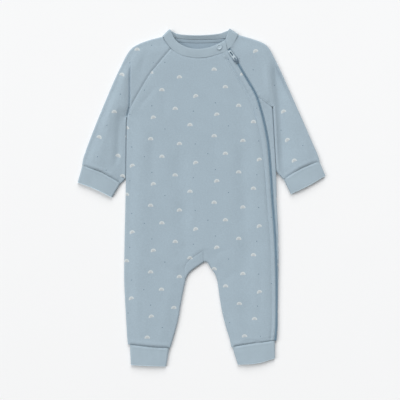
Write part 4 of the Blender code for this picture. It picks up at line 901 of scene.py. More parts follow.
@dataclass
class Layer:
    """One layer of the body between its side seams."""

    lay: Lay
    sign: float

    def side(self, line: Points, start: float, end: float, rows: int, inward: float) -> tuple[Points, Points]:
        """Finds feet on a fold from one fraction of it to another, and the ways in from them."""
        fractions = np.linspace(start, end, rows + 1)
        return along(line, fractions), along_with(line, left_normals(line) * inward, fractions)

    def arch_feet(self) -> tuple[Points, Points]:
        """Finds feet round the crotch, and the ways up from them into the cloth."""
        return self.side(self.lay.arch, 0.0, 1.0, ARCH_COLUMNS, 1.0)

    def inseam_feet(self, line: Points, inward: float, corner_way: Points) -> tuple[Points, Points]:
        """Finds feet from a leg's hem up its inner side to the crotch."""
        feet, ways = self.side(line, 1.0, 0.0, LEG_ROWS, inward)
        return feet, settled(ways, corner_way, feet, 14.0)

    def low_line(self, left: Points, right: Points) -> Points:
        """Draws the trunk's lowest row: over one leg, up round the crotch and over the other leg.

        Args:
            left: its first point.
            right: its last point.

        Returns:
            The points of the row.
        """
        feet, ways = self.arch_feet()
        arch = feet + ways * EDGE_RADIUS
        over_left = even(np.array((left, arch[0])), LEG_COLUMNS)
        over_right = even(np.array((arch[-1], right)), LEG_COLUMNS)
        return np.vstack((over_left[:-1], arch, over_right[1:]))

    @staticmethod
    def hem(line: Table, left: Points, right: Points) -> Points:
        """Draws a leg's hem between the lines at its two sides.

        Args:
            line: the whole hem.
            left: the line at its left.
            right: the line at its right.

        Returns:
            The hem's points.
        """
        smooth = smooth_line(line)
        _, at = nearest_on(smooth, np.array((left, right)))
        points = between(smooth, at[0], at[1], LEG_COLUMNS)
        points[0], points[-1] = left, right
        return points

    def left_edge(self, raglan: Points) -> tuple[Points, Points, Points]:
        """Finds the left side's feet and ways up to the armpit, and the net's line beside them.

        Args:
            raglan: the seam that the side runs into.

        Returns:
            The feet, the ways and the net's line.
        """
        side = self.lay.left_side
        feet, ways = self.side(side, at_y(side, CROTCH_Y), 0.0, LOWER_ROWS, 1.0)
        ways = settled(ways, (raglan[0] - feet[-1]) / EDGE_RADIUS, feet, 14.0)
        return feet, ways, np.vstack(((feet + ways * EDGE_RADIUS)[:-1], raglan))

    def trunk_plan(self, left: Points, right: Points, neck: Table) -> Points:
        """Fills the trunk between its sides, its lowest row and the neck.

        Args:
            left: its left side.
            right: its right side.
            neck: its last row.

        Returns:
            The points, by row and column.
        """
        low = self.low_line(left[0], right[0])
        line = smooth_line(neck)
        _, at = nearest_on(line, np.array((left[-1], right[-1])))
        high = along(line, at[0] + (at[1] - at[0]) * lengths(low) / lengths(low)[-1])
        high[0], high[-1] = left[-1], right[-1]
        return net(low, high, left, right)

    def face(self, plan: Points) -> Net:
        """Lays this layer over points of the plan."""
        return self.lay.upper(plan) if self.sign > 0 else self.lay.lower(plan)

    def legs(self, top: Points, right_line: Points) -> list[Net]:
        """Builds both legs, from the trunk's lowest row to their hems, turned round their edges.

        Args:
            top: the trunk's lowest row.
            right_line: the right leg's outer line.

        Returns:
            Their nets.
        """
        lay = self.lay
        _, arch_ways = self.arch_feet()
        outer = self.side(lay.left_side, 1.0, at_y(lay.left_side, CROTCH_Y), LEG_ROWS, 1.0)
        left_inner = self.inseam_feet(lay.left_inseam, -1.0, arch_ways[0])
        right_inner = self.inseam_feet(lay.right_inseam, 1.0, arch_ways[-1])
        beside = [feet + ways * EDGE_RADIUS for feet, ways in (outer, left_inner, right_inner)]
        nets = []
        for hem, high, left, right in (
            (LEFT_HEM, top[: LEG_COLUMNS + 1], beside[0], beside[1]),
            (RIGHT_HEM, top[-LEG_COLUMNS - 1 :], beside[2], right_line.copy()),
        ):
            left[-1], right[-1] = high[0], high[-1]
            nets.append(self.face(net(self.hem(hem, left[0], right[0]), high, left, right)))
        one, other = nets
        edges = ((outer, one[:, :1]), (left_inner, one[:, -1:]), (right_inner, other[:, :1]))
        return nets + [turned(*edge, self.sign).then(near) for edge, near in edges]


def raglan_rows(line: Table, distance: float, start: float, rows: int) -> Points:
    """Draws a raglan seam from near the armpit up to the neck, moved to one side of the stitches."""
    seam = moved(smooth_line(line), distance)
    return between(seam, start / lengths(seam)[-1], 1.0, rows)


@dataclass
class Body:
    """The front, the gusset let in beside the crotch, the strip beside the zip, and the back."""

    lay: Lay

    @staticmethod
    def on_front(plan: Points) -> Points:
        """Finds places of the plan on the flat front, whose legs were turned a little when it was laid.

        Args:
            plan: points with x and y last.

        Returns:
            Their places on the panel.
        """
        down = np.maximum(CROTCH_Y - plan[..., 1:], 0.0) / LEG_RUN
        turn = np.where(plan[..., :1] < 0, LEG_TURN_LEFT, LEG_TURN_RIGHT)
        return plan - turn * down**1.3

    def front_and_gusset(self) -> tuple[Cloth, Cloth]:
        """Builds the front from the neck to both hems, and the gusset beside the crotch.

        Returns:
            The front and the gusset.
        """
        lay, layer = self.lay, Layer(self.lay, 1.0)
        raglan = raglan_rows(RAGLAN_LEFT, -SEAM_GAP / 2, EDGE_RADIUS, UPPER_ROWS)
        feet, ways, left = layer.left_edge(raglan)
        by_zip = lay.zip_rows(-ZIP_WIDTH / 2)
        plan = layer.trunk_plan(left, by_zip[LEG_ROWS:], NECK_FRONT)
        first, middle, last = LEG_COLUMNS, LEG_COLUMNS + ARCH_COLUMNS // 2, LEG_COLUMNS + ARCH_COLUMNS
        over = GUSSET_ROWS + 1
        sides = (plan[:over, first], plan[GUSSET_ROWS, first : middle + 1], plan[:over, middle])
        lay.seams += [Seam(line, 0.4, 1.6, 0.12, 8.0, 5.0) for line in sides]
        trunk = lay.upper(plan)
        arch = turned(*layer.arch_feet(), 1.0).then(trunk[:1, first : last + 1].across())
        front = (
            trunk[GUSSET_ROWS:],
            trunk[:over, : first + 1],
            trunk[:over, middle:],
            turned(feet, ways, 1.0).then(trunk[: LOWER_ROWS + 1, :1]),
            arch[ARCH_COLUMNS // 2 :],
            *layer.legs(plan[0], by_zip[: LEG_ROWS + 1]),
        )
        inset = self.inset(plan[:over, first : middle + 1], SEAM_GAP)
        gusset = lay.upper(inset)
        share = np.linspace(0.0, 0.5, ARCH_COLUMNS // 2 + 1)
        share[[0, -1]] += np.array((SEAM_GAP, -SEAM_GAP)) / lengths(lay.arch)[-1]
        gusset_feet = along(lay.arch, share)
        gusset_turn = turned(gusset_feet, (inset[0] - gusset_feet) / EDGE_RADIUS, 1.0)
        return (
            Cloth([part.regrained(self.on_front) for part in front]),
            Cloth([gusset, gusset_turn.then(gusset[:1].across())]),
        )

    @staticmethod
    def inset(plan: Points, gap: float) -> Points:
        """Draws a block of a net in from its neighbours at its sides and its top, not at its low row.

        Args:
            plan: the block's points.
            gap: how far it is drawn in.

        Returns:
            The smaller block.
        """
        rows, columns = plan.shape[:2]
        u, v = np.arange(columns, dtype=float), np.arange(rows, dtype=float)
        u[0] += gap / norm(plan[0, 1] - plan[0, 0])
        u[-1] -= gap / norm(plan[0, -1] - plan[0, -2])
        v[-1] -= gap / norm(plan[-1, 0] - plan[-2, 0])
        whole_u, whole_v = np.arange(columns), np.arange(rows)
        made = np.empty_like(plan)
        for k in (0, 1):
            wide = np.array([np.interp(u, whole_u, line) for line in plan[..., k]])
            made[..., k] = np.array([np.interp(v, whole_v, line) for line in wide.T]).T
        return made

    def strip_rows(self) -> tuple[Points, Points, Points]:
        """Finds the strip's feet on the right edge, its points beside the zip, and the ways under.

        Returns:
            Points of the right edge, points beside the zip, and the ways under the edge.
        """
        side = self.lay.right_side
        crotch = at_y(side, CROTCH_Y)
        legs = np.linspace(1.0, crotch, LEG_ROWS + 1)
        trunk = np.linspace(crotch, 0.0, LOWER_ROWS + 1)[1:]
        feet = along(side, np.concatenate((legs, trunk)))
        raglan = smooth_line(RAGLAN_BACK_RIGHT)
        up_raglan = along(raglan, (SIDE_STRIP_UNDER / lengths(raglan)[-1],))[0] - feet[-1]
        under = np.tile((-1.0, 0.0), (len(feet), 1))
        under = settled(under, unit(up_raglan), feet, 16.0)
        return feet, self.lay.zip_rows(ZIP_WIDTH / 2)[: len(feet)], under

    def strip(self) -> Cloth:
        """Builds the strip beside the zip, which turns round the right edge to a seam under the body.

        Returns:
            The strip.
        """
        feet, by_zip, under = self.strip_rows()
        by_zip[-1] += (0.0, -SEAM_GAP)
        offset = by_zip - feet
        apart = norm(offset, axis=1)
        ways = offset / apart[:, None]
        end = EDGE_RADIUS - QUARTER_TURN - SIDE_STRIP_UNDER
        shares = np.linspace(1.0, 0.0, STRIP_COLUMNS + 1)
        below = (*np.linspace(0.0, -QUARTER_TURN, 6)[1:], *np.linspace(-QUARTER_TURN, end, 5)[1:])
        spots = [self.strip_column(feet, ways, over_edge(apart) * share) for share in shares]
        spots += [self.strip_column(feet, under, np.full(len(feet), run)) for run in below]
        return Cloth([Net.joined(spots, np.stack)])

    def strip_column(self, feet: Points, ways: Points, run: np.ndarray) -> Net:
        """Finds points at distances over the cloth from the right edge, negative ones underneath.

        Args:
            feet: points of the right edge.
            ways: from them into the cloth.
            run: the distance for each of them.

        Returns:
            The points, as a column of a net.
        """
        angle = np.clip(run / EDGE_RADIUS, -math.pi / 2, math.pi / 2)
        beyond = np.maximum(np.abs(run) - QUARTER_TURN, 0.0)
        flat = feet + ways * (EDGE_RADIUS + beyond)[:, None]
        layer = self.lay.upper(flat) if run.max() > 0 else self.lay.lower(flat)
        faces = []
        for size, laid in ((EDGE_RADIUS, layer.outer), (EDGE_RADIUS - CLOTH, layer.inner)):
            plan = feet + ways * (EDGE_RADIUS - size * np.cos(angle))[:, None]
            round_edge = np.column_stack((plan, EDGE_RADIUS + size * np.sin(angle)))
            faces.append(np.where((beyond > 0)[:, None], laid, round_edge))
        out = feet[:, 0] + QUARTER_TURN - EDGE_RADIUS - run
        return Net(*faces, np.column_stack((out, feet[:, 1])))

    def back(self) -> Cloth:
        """Builds the back from the neck to both hems, flat on the floor.

        Returns:
            The back.
        """
        layer = Layer(self.lay, -1.0)
        raglan = raglan_rows(RAGLAN_BACK_LEFT, -SEAM_GAP / 2, EDGE_RADIUS, UPPER_ROWS)
        feet, ways, left = layer.left_edge(raglan)
        strip_feet, _, under = self.strip_rows()
        seam = strip_feet + under * (SIDE_STRIP_UNDER + SEAM_GAP)
        other = raglan_rows(RAGLAN_BACK_RIGHT, SEAM_GAP / 2, SIDE_STRIP_UNDER + SEAM_GAP, UPPER_ROWS)
        plan = layer.trunk_plan(left, np.vstack((seam[LEG_ROWS:-1], other)), NECK_BACK)
        trunk = layer.face(plan)
        over_arch = trunk[:1, LEG_COLUMNS : LEG_COLUMNS + ARCH_COLUMNS + 1].across()
        nets = (
            trunk,
            turned(feet, ways, -1.0).then(trunk[: LOWER_ROWS + 1, :1]),
            turned(*layer.arch_feet(), -1.0).then(over_arch),
            *layer.legs(plan[0], seam[: LEG_ROWS + 1]),
        )
        return Cloth([part.regrained(lambda g: np.array(BACK_SHIFT) - g * (1.0, -1.0)) for part in nets])


@dataclass
class Sleeve:
    """A raglan sleeve: open along the body's seams above the armpit, and closed round below it.

    Each line starts at the neck.
    """

    lay: Lay
    outer: Points
    inner: Points
    armpit_y: float
    leaves_y: float
    wrist: Table
    front_neck: Points
    back_line: Points
    front_seam: Points
    back_seam: Points
    inward: float
    inner_radius: float
    print_turn_deg: float
    print_shift: Pair

    def cloth(self) -> Cloth:
        """Builds both layers with the folds between them.

        Returns:
            The sleeve.
        """
        stops = (0.0, at_y(self.outer, self.armpit_y), at_y(self.outer, self.leaves_y), 1.0)
        _, back_at = nearest_on(self.back_line, self.back_seam[:1])
        back_neck = between(self.back_line, 0.0, back_at[0], SLEEVE_COLUMNS)
        counts = (len(self.front_seam), SLEEVE_ROWS, WRIST_ROWS)
        parts = [np.linspace(a, b, n + 1)[1:] for a, b, n in zip(stops, stops[1:], counts)]
        fractions = np.concatenate(((0.0,), *parts))
        outer_feet = along(self.outer, fractions)
        outer_ways = along_with(self.outer, left_normals(self.outer) * self.inward, fractions)
        below_leaves = even(np.array((self.inner[-1], self.wrist[-1])), WRIST_ROWS)[1:]
        inner_feet = np.vstack((even(self.inner, SLEEVE_ROWS), below_leaves))
        inner_ways = left_normals(inner_feet) * -self.inward
        armpit = (-self.inward * ARMPIT_WAY[0], ARMPIT_WAY[1])
        inner_ways = settled(inner_ways, armpit, inner_feet, 12.0, last=False)
        hem = smooth_line(self.wrist)
        long = lengths(hem)[-1]
        layers = ((1.0, self.front_neck, self.front_seam), (-1.0, back_neck, self.back_seam))
        nets = []
        for sign, neck, seam in layers:
            near_ways = settled(outer_ways, unit(neck[-1] - neck[0]), outer_feet, NECK_WAY_RUN, last=False)
            left = outer_feet + near_ways * EDGE_RADIUS
            right = np.vstack((seam, inner_feet + inner_ways * self.inner_radius))
            high = between(neck, EDGE_RADIUS / lengths(neck)[-1], 1.0, SLEEVE_COLUMNS)
            high[0], high[-1] = left[0], right[0]
            low = between(hem, EDGE_RADIUS / long, 1.0 - self.inner_radius / long, SLEEVE_COLUMNS)
            low[0], low[-1] = left[-1], right[-1]
            plan = net(low, high, left[::-1], right[::-1])
            laid = self.lay.upper(plan) if sign > 0 else self.lay.lower(plan)
            inner_turn = turned(inner_feet[::-1], inner_ways[::-1], sign, self.inner_radius)
            on_panel = self.on_panel if sign > 0 else self.on_panel_behind
            nets += [
                part.regrained(on_panel)
                for part in (
                    laid,
                    turned(outer_feet[::-1], near_ways[::-1], sign).then(laid[:, :1]),
                    inner_turn.then(laid[: SLEEVE_ROWS + WRIST_ROWS + 1, -1:]),
                )
            ]
        return Cloth(nets)

    def on_panel(self, plan: Points) -> Points:
        """Finds places of the plan on the flat sleeve, whose grain runs along the arm.

        Args:
            plan: points with x and y last.

        Returns:
            Their places on the panel.
        """
        a = math.radians(self.print_turn_deg)
        grain_axes = np.array(((math.cos(a), math.sin(a)), (-math.sin(a), math.cos(a))))
        return plan @ grain_axes.T + self.print_shift

    def on_panel_behind(self, plan: Points) -> Points:
        """Finds places of the lower layer on the flat sleeve, unfolded about the outer fold.

        Args:
            plan: points with x and y last.

        Returns:
            Their places on the panel.
        """
        start, end = self.outer[len(self.outer) // 2], self.outer[-1]
        way, offset = unit(end - start), plan - start
        return self.on_panel(start + 2 * (offset @ way)[..., None] * way - offset)


def left_sleeve(lay: Lay) -> Sleeve:
    """Places the sleeve at the viewer's left, the wearer's right.

    Args:
        lay: the garment's lines.

    Returns:
        The sleeve.
    """
    neck, back = smooth_line(NECK_FRONT), smooth_line(NECK_BACK)
    seam = raglan_rows(RAGLAN_LEFT, SEAM_GAP / 2, EDGE_RADIUS, SLEEVE_UPPER_ROWS)[::-1]
    back_seam = raglan_rows(RAGLAN_BACK_LEFT, SEAM_GAP / 2, EDGE_RADIUS, SLEEVE_UPPER_ROWS)[::-1]
    _, front_at = nearest_on(neck, seam[:1])
    front_neck = between(neck, 0.0, front_at[0], SLEEVE_COLUMNS)
    return Sleeve(
        lay, lay.left_sleeve_outer, lay.left_sleeve_inner, 159.0, 67.5, WRIST_LEFT, front_neck, back, seam,
        back_seam, inward=1.0, inner_radius=INNER_RADII[0], print_turn_deg=-20.0, print_shift=(75.0, 85.8),
    )


def right_sleeve(lay: Lay) -> Sleeve:
    """Places the sleeve at the viewer's right; the zip borders it down to the strip's top.

    Args:
        lay: the garment's lines.

    Returns:
        The sleeve.
    """
    neck, back = smooth_line(NECK_FRONT_RIGHT), smooth_line(NECK_BACK)[::-1]
    by_zip = lay.zip_rows(ZIP_WIDTH / 2)[LEG_ROWS + LOWER_ROWS :][::-1]
    down = lay.right_sleeve_inner[0] - by_zip[-1]
    stop = 1.0 - EDGE_RADIUS / norm(down)
    by_strip = by_zip[-1] + down * np.linspace(0.0, stop, RAGLAN_RIGHT_ROWS + 1)[:, None]
    seam = np.vstack((by_zip, by_strip[1:]))
    back_seam = raglan_rows(RAGLAN_BACK_RIGHT, -SEAM_GAP, EDGE_RADIUS, len(seam) - 1)[::-1]
    front_neck = np.vstack((neck[::-1], seam[:1]))
    return Sleeve(
        lay, lay.right_sleeve_outer, lay.right_sleeve_inner, 178.0, 77.0, WRIST_RIGHT, front_neck, back, seam,
        back_seam, inward=-1.0, inner_radius=INNER_RADII[1], print_turn_deg=25.0, print_shift=(72.0, 12.0),
    )


@dataclass
class Cuff:
    """A folded tube of rib, drawn in a little at its two corners where it is sewn on."""

    start: Table  # its seam, from its outer to its inner corner
    end: Table
    take_in: Pair  # how much narrower it starts at each corner
    columns: int = 200
    rows: int = 14
    crown: float = 0.8
    crown_run: float = 14.0
    rib_depth: float = 0.2
    allowance: float = 5.0  # length of the seam allowance that lies under its top

    def cloth(self) -> Cloth:
        """Builds both layers with the folds at the sides and a rounded free end.

        Returns:
            The cuff.
        """
        first, last = smooth_line(self.start), smooth_line(self.end)
        total = lengths(first)[-1]
        first = between(first, self.take_in[0] / total, 1.0 - self.take_in[1] / total, 40)
        down = last.mean(axis=0) - first.mean(axis=0)
        long = float(norm(down))
        first = first + down / long * SEAM_GAP
        margin = EDGE_RADIUS / lengths(last)[-1]
        shares = np.concatenate(((0.0,), np.linspace(margin, 1.0 - margin, self.columns + 1), (1.0,)))
        start, end = along(first, shares), along(last, shares)
        lip = RIB_CLOTH / 2
        leans = np.radians((0.0, 22.0, 44.0, 62.0, 78.0))
        flat_part = np.linspace(0.0, 1.0 - lip / long, self.rows + 1)[:-1]
        fall = np.concatenate((flat_part, 1.0 - lip / long * (1 - np.sin(leans))))
        thin = np.concatenate((np.zeros(self.rows), lip * (1.0 - np.cos(leans))))
        plan = start + (end - start) * fall[:, None, None]
        laid = plan[:, 1:-1]
        from_side = np.minimum(norm(laid - plan[:, :1], axis=2), norm(laid - plan[:, -1:], axis=2))
        across = np.broadcast_to((shares[1:-1] * lengths(last)[-1])[None], laid.shape[:2])
        run = np.broadcast_to((fall * long)[:, None], laid.shape[:2])
        inside = ease((from_side - EDGE_RADIUS) / 6.0)
        ridge = 0.4 * np.exp(-(((run - 0.5 * self.allowance) / 2.2) ** 2))
        ridge = ridge - 0.3 * np.exp(-(((run - self.allowance - 1.2) / 1.6) ** 2))
        ridge = ridge - 1.3 * np.exp(-((run / 2.0) ** 2))
        waves = 0.14 * np.cos(across / 1.35 + np.sin(across / 6.0)) * np.exp(-run / 8.0)
        z = 2 * EDGE_RADIUS + self.crown * ease((from_side - EDGE_RADIUS) / self.crown_run)
        z = z + (ridge + waves + 0.12 * np.sin(across / 11.0 + run / 9.0)) * inside
        from_end = long - run
        grain = np.stack((across, from_end), axis=-1)
        drop = thin[:, None]
        upper = Net(*(np.dstack((laid, h)) for h in (z - drop, z - RIB_CLOTH + drop)), grain)
        rest = np.zeros_like(z)
        lower = Net(*(np.dstack((laid, h)) for h in (rest + drop, rest + RIB_CLOTH - drop)), grain)
        angles = np.radians(TURN_DEGREES)
        nets = []
        for layer, sign in ((upper, 1.0), (lower, -1.0)):
            group = [layer]
            for edge, near, column in ((0, 0, layer[:, :1]), (-1, -1, layer[:, -1:])):
                ways = (laid[:, near] - plan[:, edge]) / EDGE_RADIUS
                bend = turned(plan[:, edge], ways, sign, wall=RIB_CLOTH)
                middle = (bend.outer + bend.inner) / 2
                share = (1.0 - drop / lip)[..., None]
                bend.outer, bend.inner = (middle + (f - middle) * share for f in (bend.outer, bend.inner))
                out = 1.0 if near == 0 else -1.0
                side = across[:, near, None] - out * EDGE_RADIUS * (math.pi / 2 - angles)
                bend.grain = np.stack((side, np.broadcast_to(from_end[:, :1], side.shape)), axis=-1)
                group.append(bend.then(column))
            nets += [part.regrained(lambda g, s=sign: g * (s, 1.0)).ribbed(self.rib_depth) for part in group]
        return Cloth(nets)


@dataclass
class Neckband:
    """The folded rib round the neck, from its lapped front end over both shoulders and back to the zip."""

    wall: float = 2.2
    front_z: float = 7.0  # middle of the wall at the front seam
    front_rise: float = 0.4
    back_z: float = 1.1
    back_rise: float = 3.3  # the back stands up towards its free edge
    rise_power: float = 0.75
    crown: float = 0.35
    clear: float = 1.0
    rib_depth: float = 0.18
    columns: int = 8
    step: float = 0.38  # along the band, from one row of points to the next
    free_front: Table = (
        (42.4, 282.8), (36, 279.2), (27.9, 275.2), (18, 271), (5.6, 268), (-9.4, 267), (-24.3, 269.5),
        (-36.2, 274.7), (-45.2, 281.5), (-51.1, 289.6),
    )
    free_back: Table = (
        (-45.2, 294.8), (-33.3, 292.7), (-9.4, 291.6), (13.1, 292.5), (32.6, 294.8), (42, 298.2),
    )
    free_right: Table = ((46.4, 292.5), (42.75, 283.2))
    over_zip: Table = ((51.1, 268.9), (46.75, 265.6))
    end_x: float = 46.5
    fold_left: Table = ((-69.9, 289.2), (-57.0, 302.2))
    fold_right: Table = ((66.0, 292.5), (50.0, 303.2))

    def fold_rows(self, fold: Table, neck_ends: Table, inward: float, over: Sequence[float]) -> Points:
        """Finds rows across the band where it folds over at a shoulder, one for each angle.

        Args:
            fold: its seam end and its free end.
            neck_ends: where the band's seam meets the raglan seams in front and behind.
            inward: 1 at the viewer's left shoulder, -1 at the right one.
            over: degrees, from 90 in front to -90 behind or the other way.

        Returns:
            For each angle a point at the seam and one at the free edge, and the way out at the seam.
        """
        seam, free = np.array(fold)
        way = unit(free - seam)
        across = np.array((way[1], -way[0])) * inward
        toward = [unit(np.array(end) - seam) for end in neck_ends]
        rows = []
        for angle in np.radians(over):
            ends = []
            seam_way = toward[0] if angle > 0 else toward[1]
            both = ((seam + way * SHOULDER_GAP, seam_way, 0.0), (free, across, self.front_rise))
            for point, bend, rise in both:
                radius = (self.front_z + rise - self.back_z) / 2
                plan = point + bend * radius * (1.0 - math.cos(angle))
                ends.append((*plan, self.back_z + radius * (1.0 + math.sin(angle))))
            rows.append((*ends, (*(-seam_way * math.cos(angle)), math.sin(angle))))
        return np.array(rows)

    def stretch(self, seam: Points, free: Points, heights: Table, out: float) -> Points:
        """Finds rows across a stretch of the band between its seam and its free edge.

        Args:
            seam: the points of its seam.
            free: those of its free edge.
            heights: of each line, with how much higher its middle is.
            out: the way out of the cloth at the seam, 1 for up and -1 for down.

        Returns:
            The rows, as in fold_rows.
        """
        spans = max(int(lengths(seam)[-1] / self.step), 2)
        share = np.linspace(0.0, 1.0, spans + 1)
        rows = []
        for line, (height, rise) in zip((seam, free), heights):
            z = height + rise * np.sin(np.pi * share) ** self.rise_power
            rows.append(np.column_stack((even(line, spans), z)))
        rows.append(np.tile((0.0, 0.0, out), (spans + 1, 1)))
        return np.stack(rows, axis=1)

    def cloth(self) -> Cloth:
        """Builds the band in one net round the neck.

        Returns:
            The band.
        """
        left_ends = (RAGLAN_LEFT[-1], RAGLAN_BACK_LEFT[-1])
        right_ends = (NECK_FRONT_RIGHT[0], RAGLAN_BACK_RIGHT[-1])
        over = np.linspace(90.0, -90.0, 25)
        left_turn = self.fold_rows(self.fold_left, left_ends, 1.0, over)
        right_turn = self.fold_rows(self.fold_right, right_ends, -1.0, over[::-1])
        front_seam = moved(smooth_line(NECK_FRONT), NECK_GAP)
        front_seam = front_seam[front_seam[:, 0] < self.end_x][::-1]
        near_fold = norm(front_seam - left_turn[0, 0, :2], axis=1).argmin()
        front_seam = np.vstack((front_seam[:near_fold], left_turn[:1, 0, :2]))
        front_free = np.vstack((smooth_line(self.free_front), left_turn[:1, 1, :2]))
        back_seam = moved(smooth_line(NECK_BACK), SEAM_GAP)
        back_from, back_to = left_turn[-1, 0, 0] + self.clear, right_turn[0, 0, 0] - self.clear
        keep = (back_seam[:, 0] > back_from) & (back_seam[:, 0] < back_to)
        back_seam = np.vstack((left_turn[-1:, 0, :2], back_seam[keep], right_turn[:1, 0, :2]))
        back_free = np.vstack((left_turn[-1:, 1, :2], smooth_line(self.free_back), right_turn[:1, 1, :2]))
        by_zip = smooth_line(NECK_FRONT_RIGHT)[-2::-1] - (1.5 * NECK_GAP, 0.0)
        right_seam = np.vstack((right_turn[-1:, 0, :2], by_zip, self.over_zip))
        right_free = np.vstack((right_turn[-1:, 1, :2], smooth_line(self.free_right)))
        flat = ((self.front_z, 0.0), (self.front_z + self.front_rise, 0.0))
        front = self.stretch(front_seam, front_free, flat, 1.0)
        back = self.stretch(back_seam, back_free, ((self.back_z, 0.0), (self.back_z, self.back_rise)), -1.0)
        right = self.stretch(right_seam, right_free, flat, 1.0)
        rows = np.vstack((front, left_turn[1:], back[1:], right_turn[1:], right[1:]))
        return self.net_round(rows[:, :2], rows[:, 2])

    def net_round(self, ends: Points, seam_out: Points) -> Cloth:
        """Thickens the rows across the band, with ribs across it and a rounded free edge.

        Args:
            ends: each row's start at the seam and its free end.
            seam_out: the way out of the seam at each.

        Returns:
            The band.
        """
        width = float(np.median(norm(ends[:, 1] - ends[:, 0], axis=1)))
        lip = self.wall / 2 / width
        leans = np.radians((0.0, 24.0, 46.0, 64.0, 80.0))
        flat = np.linspace(0.0, 1.0 - lip, self.columns + 1)[:-1]
        share = np.concatenate((flat, 1.0 - lip * (1 - np.sin(leans))))[None, :, None]
        half = self.wall / 2 * np.concatenate((np.ones(len(flat)), np.cos(leans)))[None, :, None]
        middle = ends[:, :1] * (1 - share) + ends[:, 1:] * share
        normal = unit(np.cross(np.gradient(middle, axis=1), np.gradient(middle, axis=0)))
        normal[:, 0] = seam_out
        bulge = self.crown * np.sin(np.pi * share) * np.maximum(normal[..., 2:], 0.0)
        run = np.broadcast_to(lengths(middle[:, len(flat) // 2])[:, None], middle.shape[:2])
        down = np.broadcast_to(share[..., 0] * width, middle.shape[:2])
        bulge = bulge + 0.12 * (np.sin(run / 5.3 + np.sin(run / 13.0)) * np.exp(-down / 5.0))[..., None]
        grain = np.stack((run, width - down + 4.0), axis=-1)
        band = Net(middle + normal * (half + bulge), middle - normal * half, grain)
        return Cloth([band.ribbed(self.rib_depth)])


@dataclass
class NeckTape:
    """The narrow tape over the back neck seam, on the inside of the back."""

    from_x: float = -47.0
    to_x: float = 41.0
    below: float = 0.4
    width: float = 5.4
    wall: float = 0.7
    spans: int = 90

    def cloth(self) -> Cloth:
        """Builds the tape.

        Returns:
            The tape.
        """
        seam = smooth_line(NECK_BACK)
        seam = seam[(seam[:, 0] > self.from_x) & (seam[:, 0] < self.to_x)]
        spots = np.linspace(self.below, self.below + self.width, 7)
        plan = np.stack([even(moved(seam, -distance), self.spans) for distance in spots])
        bottom = CLOTH + NECK_GAP
        round_top = np.array((0.55, 0.9, 1.0, 0.94, 1.0, 0.9, 0.55))[:, None] * self.wall
        run = np.broadcast_to(lengths(even(seam, self.spans))[None], plan.shape[:2])
        grain = np.stack((run, np.broadcast_to(spots[:, None] + 4.0, run.shape)), axis=-1)
        return Cloth([Net(raised(plan, bottom + round_top), raised(plan, bottom), grain)])


def shifted(x: float, y: float, z: float) -> Matrix:
    """Moves by a distance in millimetres."""
    return Matrix.Translation(Vector((x, y, z)) * MM)


def linked(name: str, data: ID) -> Object:
    """Makes an object at the origin.

    Args:
        name: of the object.
        data: what it shows.

    Returns:
        The object.
    """
    piece = bpy.data.objects.new(name, data)
    bpy.context.scene.collection.objects.link(piece)
    return piece


def placed(mesh: Mesh, materials: Sequence[Material]) -> Object:
    """Makes an object of a mesh, with its materials.

    Args:
        mesh: gives the object its name.
        materials: one for each slot.

    Returns:
        The object.
    """
    for surface in materials:
        mesh.materials.append(surface)
    return linked(mesh.name, mesh)


def only(piece: Object) -> None:
    """Selects one object alone and makes it the active one.

    Args:
        piece: the object.
    """
    bpy.ops.object.select_all(action="DESELECT")
    piece.select_set(True)
    bpy.context.view_layer.objects.active = piece


def rounded_box(length: float, width: float, radius: float, centre: Sequence[float] = (0.0, 0.0)) -> list:
    """Finds the points round a rectangle with rounded corners.

    Args:
        length: along x.
        width: along y.
        radius: of its corners.
        centre: its middle.

    Returns:
        The points.
    """
    points = []
    steps = 6
    for quarter, (sx, sy) in enumerate(((1, 1), (-1, 1), (-1, -1), (1, -1))):
        for k in range(steps + 1):
            angle = math.pi / 2 * (quarter + k / steps)
            x = sx * (length / 2 - radius) + radius * math.cos(angle)
            y = sy * (width / 2 - radius) + radius * math.sin(angle)
            points.append((centre[0] + x, centre[1] + y))
    return points


def plate(name: str, outlines: Sequence[Table], wall: float, edge: float, place: Matrix) -> Object:
    """Cuts a flat plate with rounded edges and sets it in its place.

    Args:
        name: of the object.
        outlines: the first is its edge and the others are holes.
        wall: its thickness, with its middle on z = 0 before it is placed.
        edge: the radius along its edges.
        place: from the plate's own frame to the garment's.

    Returns:
        The plate, as a mesh at the origin.
    """
    bpy.ops.curve.primitive_bezier_circle_add()
    piece = bpy.context.active_object
    curve = piece.data
    curve.splines.clear()
    curve.dimensions = "2D"
    curve.fill_mode = "BOTH"
    curve.extrude = (wall / 2 - edge) * MM
    curve.bevel_depth = edge * MM
    curve.bevel_resolution = 2
    curve.offset = -edge * MM
    for outline in outlines:
        spline = curve.splines.new("POLY")
        spline.points.add(len(outline) - 1)
        spline.points.foreach_set("co", [c for x, y in outline for c in (x * MM, y * MM, 0.0, 1.0)])
        spline.use_cyclic_u = True
    only(piece)
    bpy.ops.object.convert(target="MESH")
    piece = bpy.context.active_object
    piece.name = piece.data.name = name
    bpy.ops.object.mode_set(mode="EDIT")
    bpy.ops.mesh.select_all(action="SELECT")
    bpy.ops.mesh.remove_doubles(threshold=1e-6)
    bpy.ops.mesh.normals_make_consistent(inside=False)
    bpy.ops.object.mode_set(mode="OBJECT")
    piece.data.transform(place)
    return piece


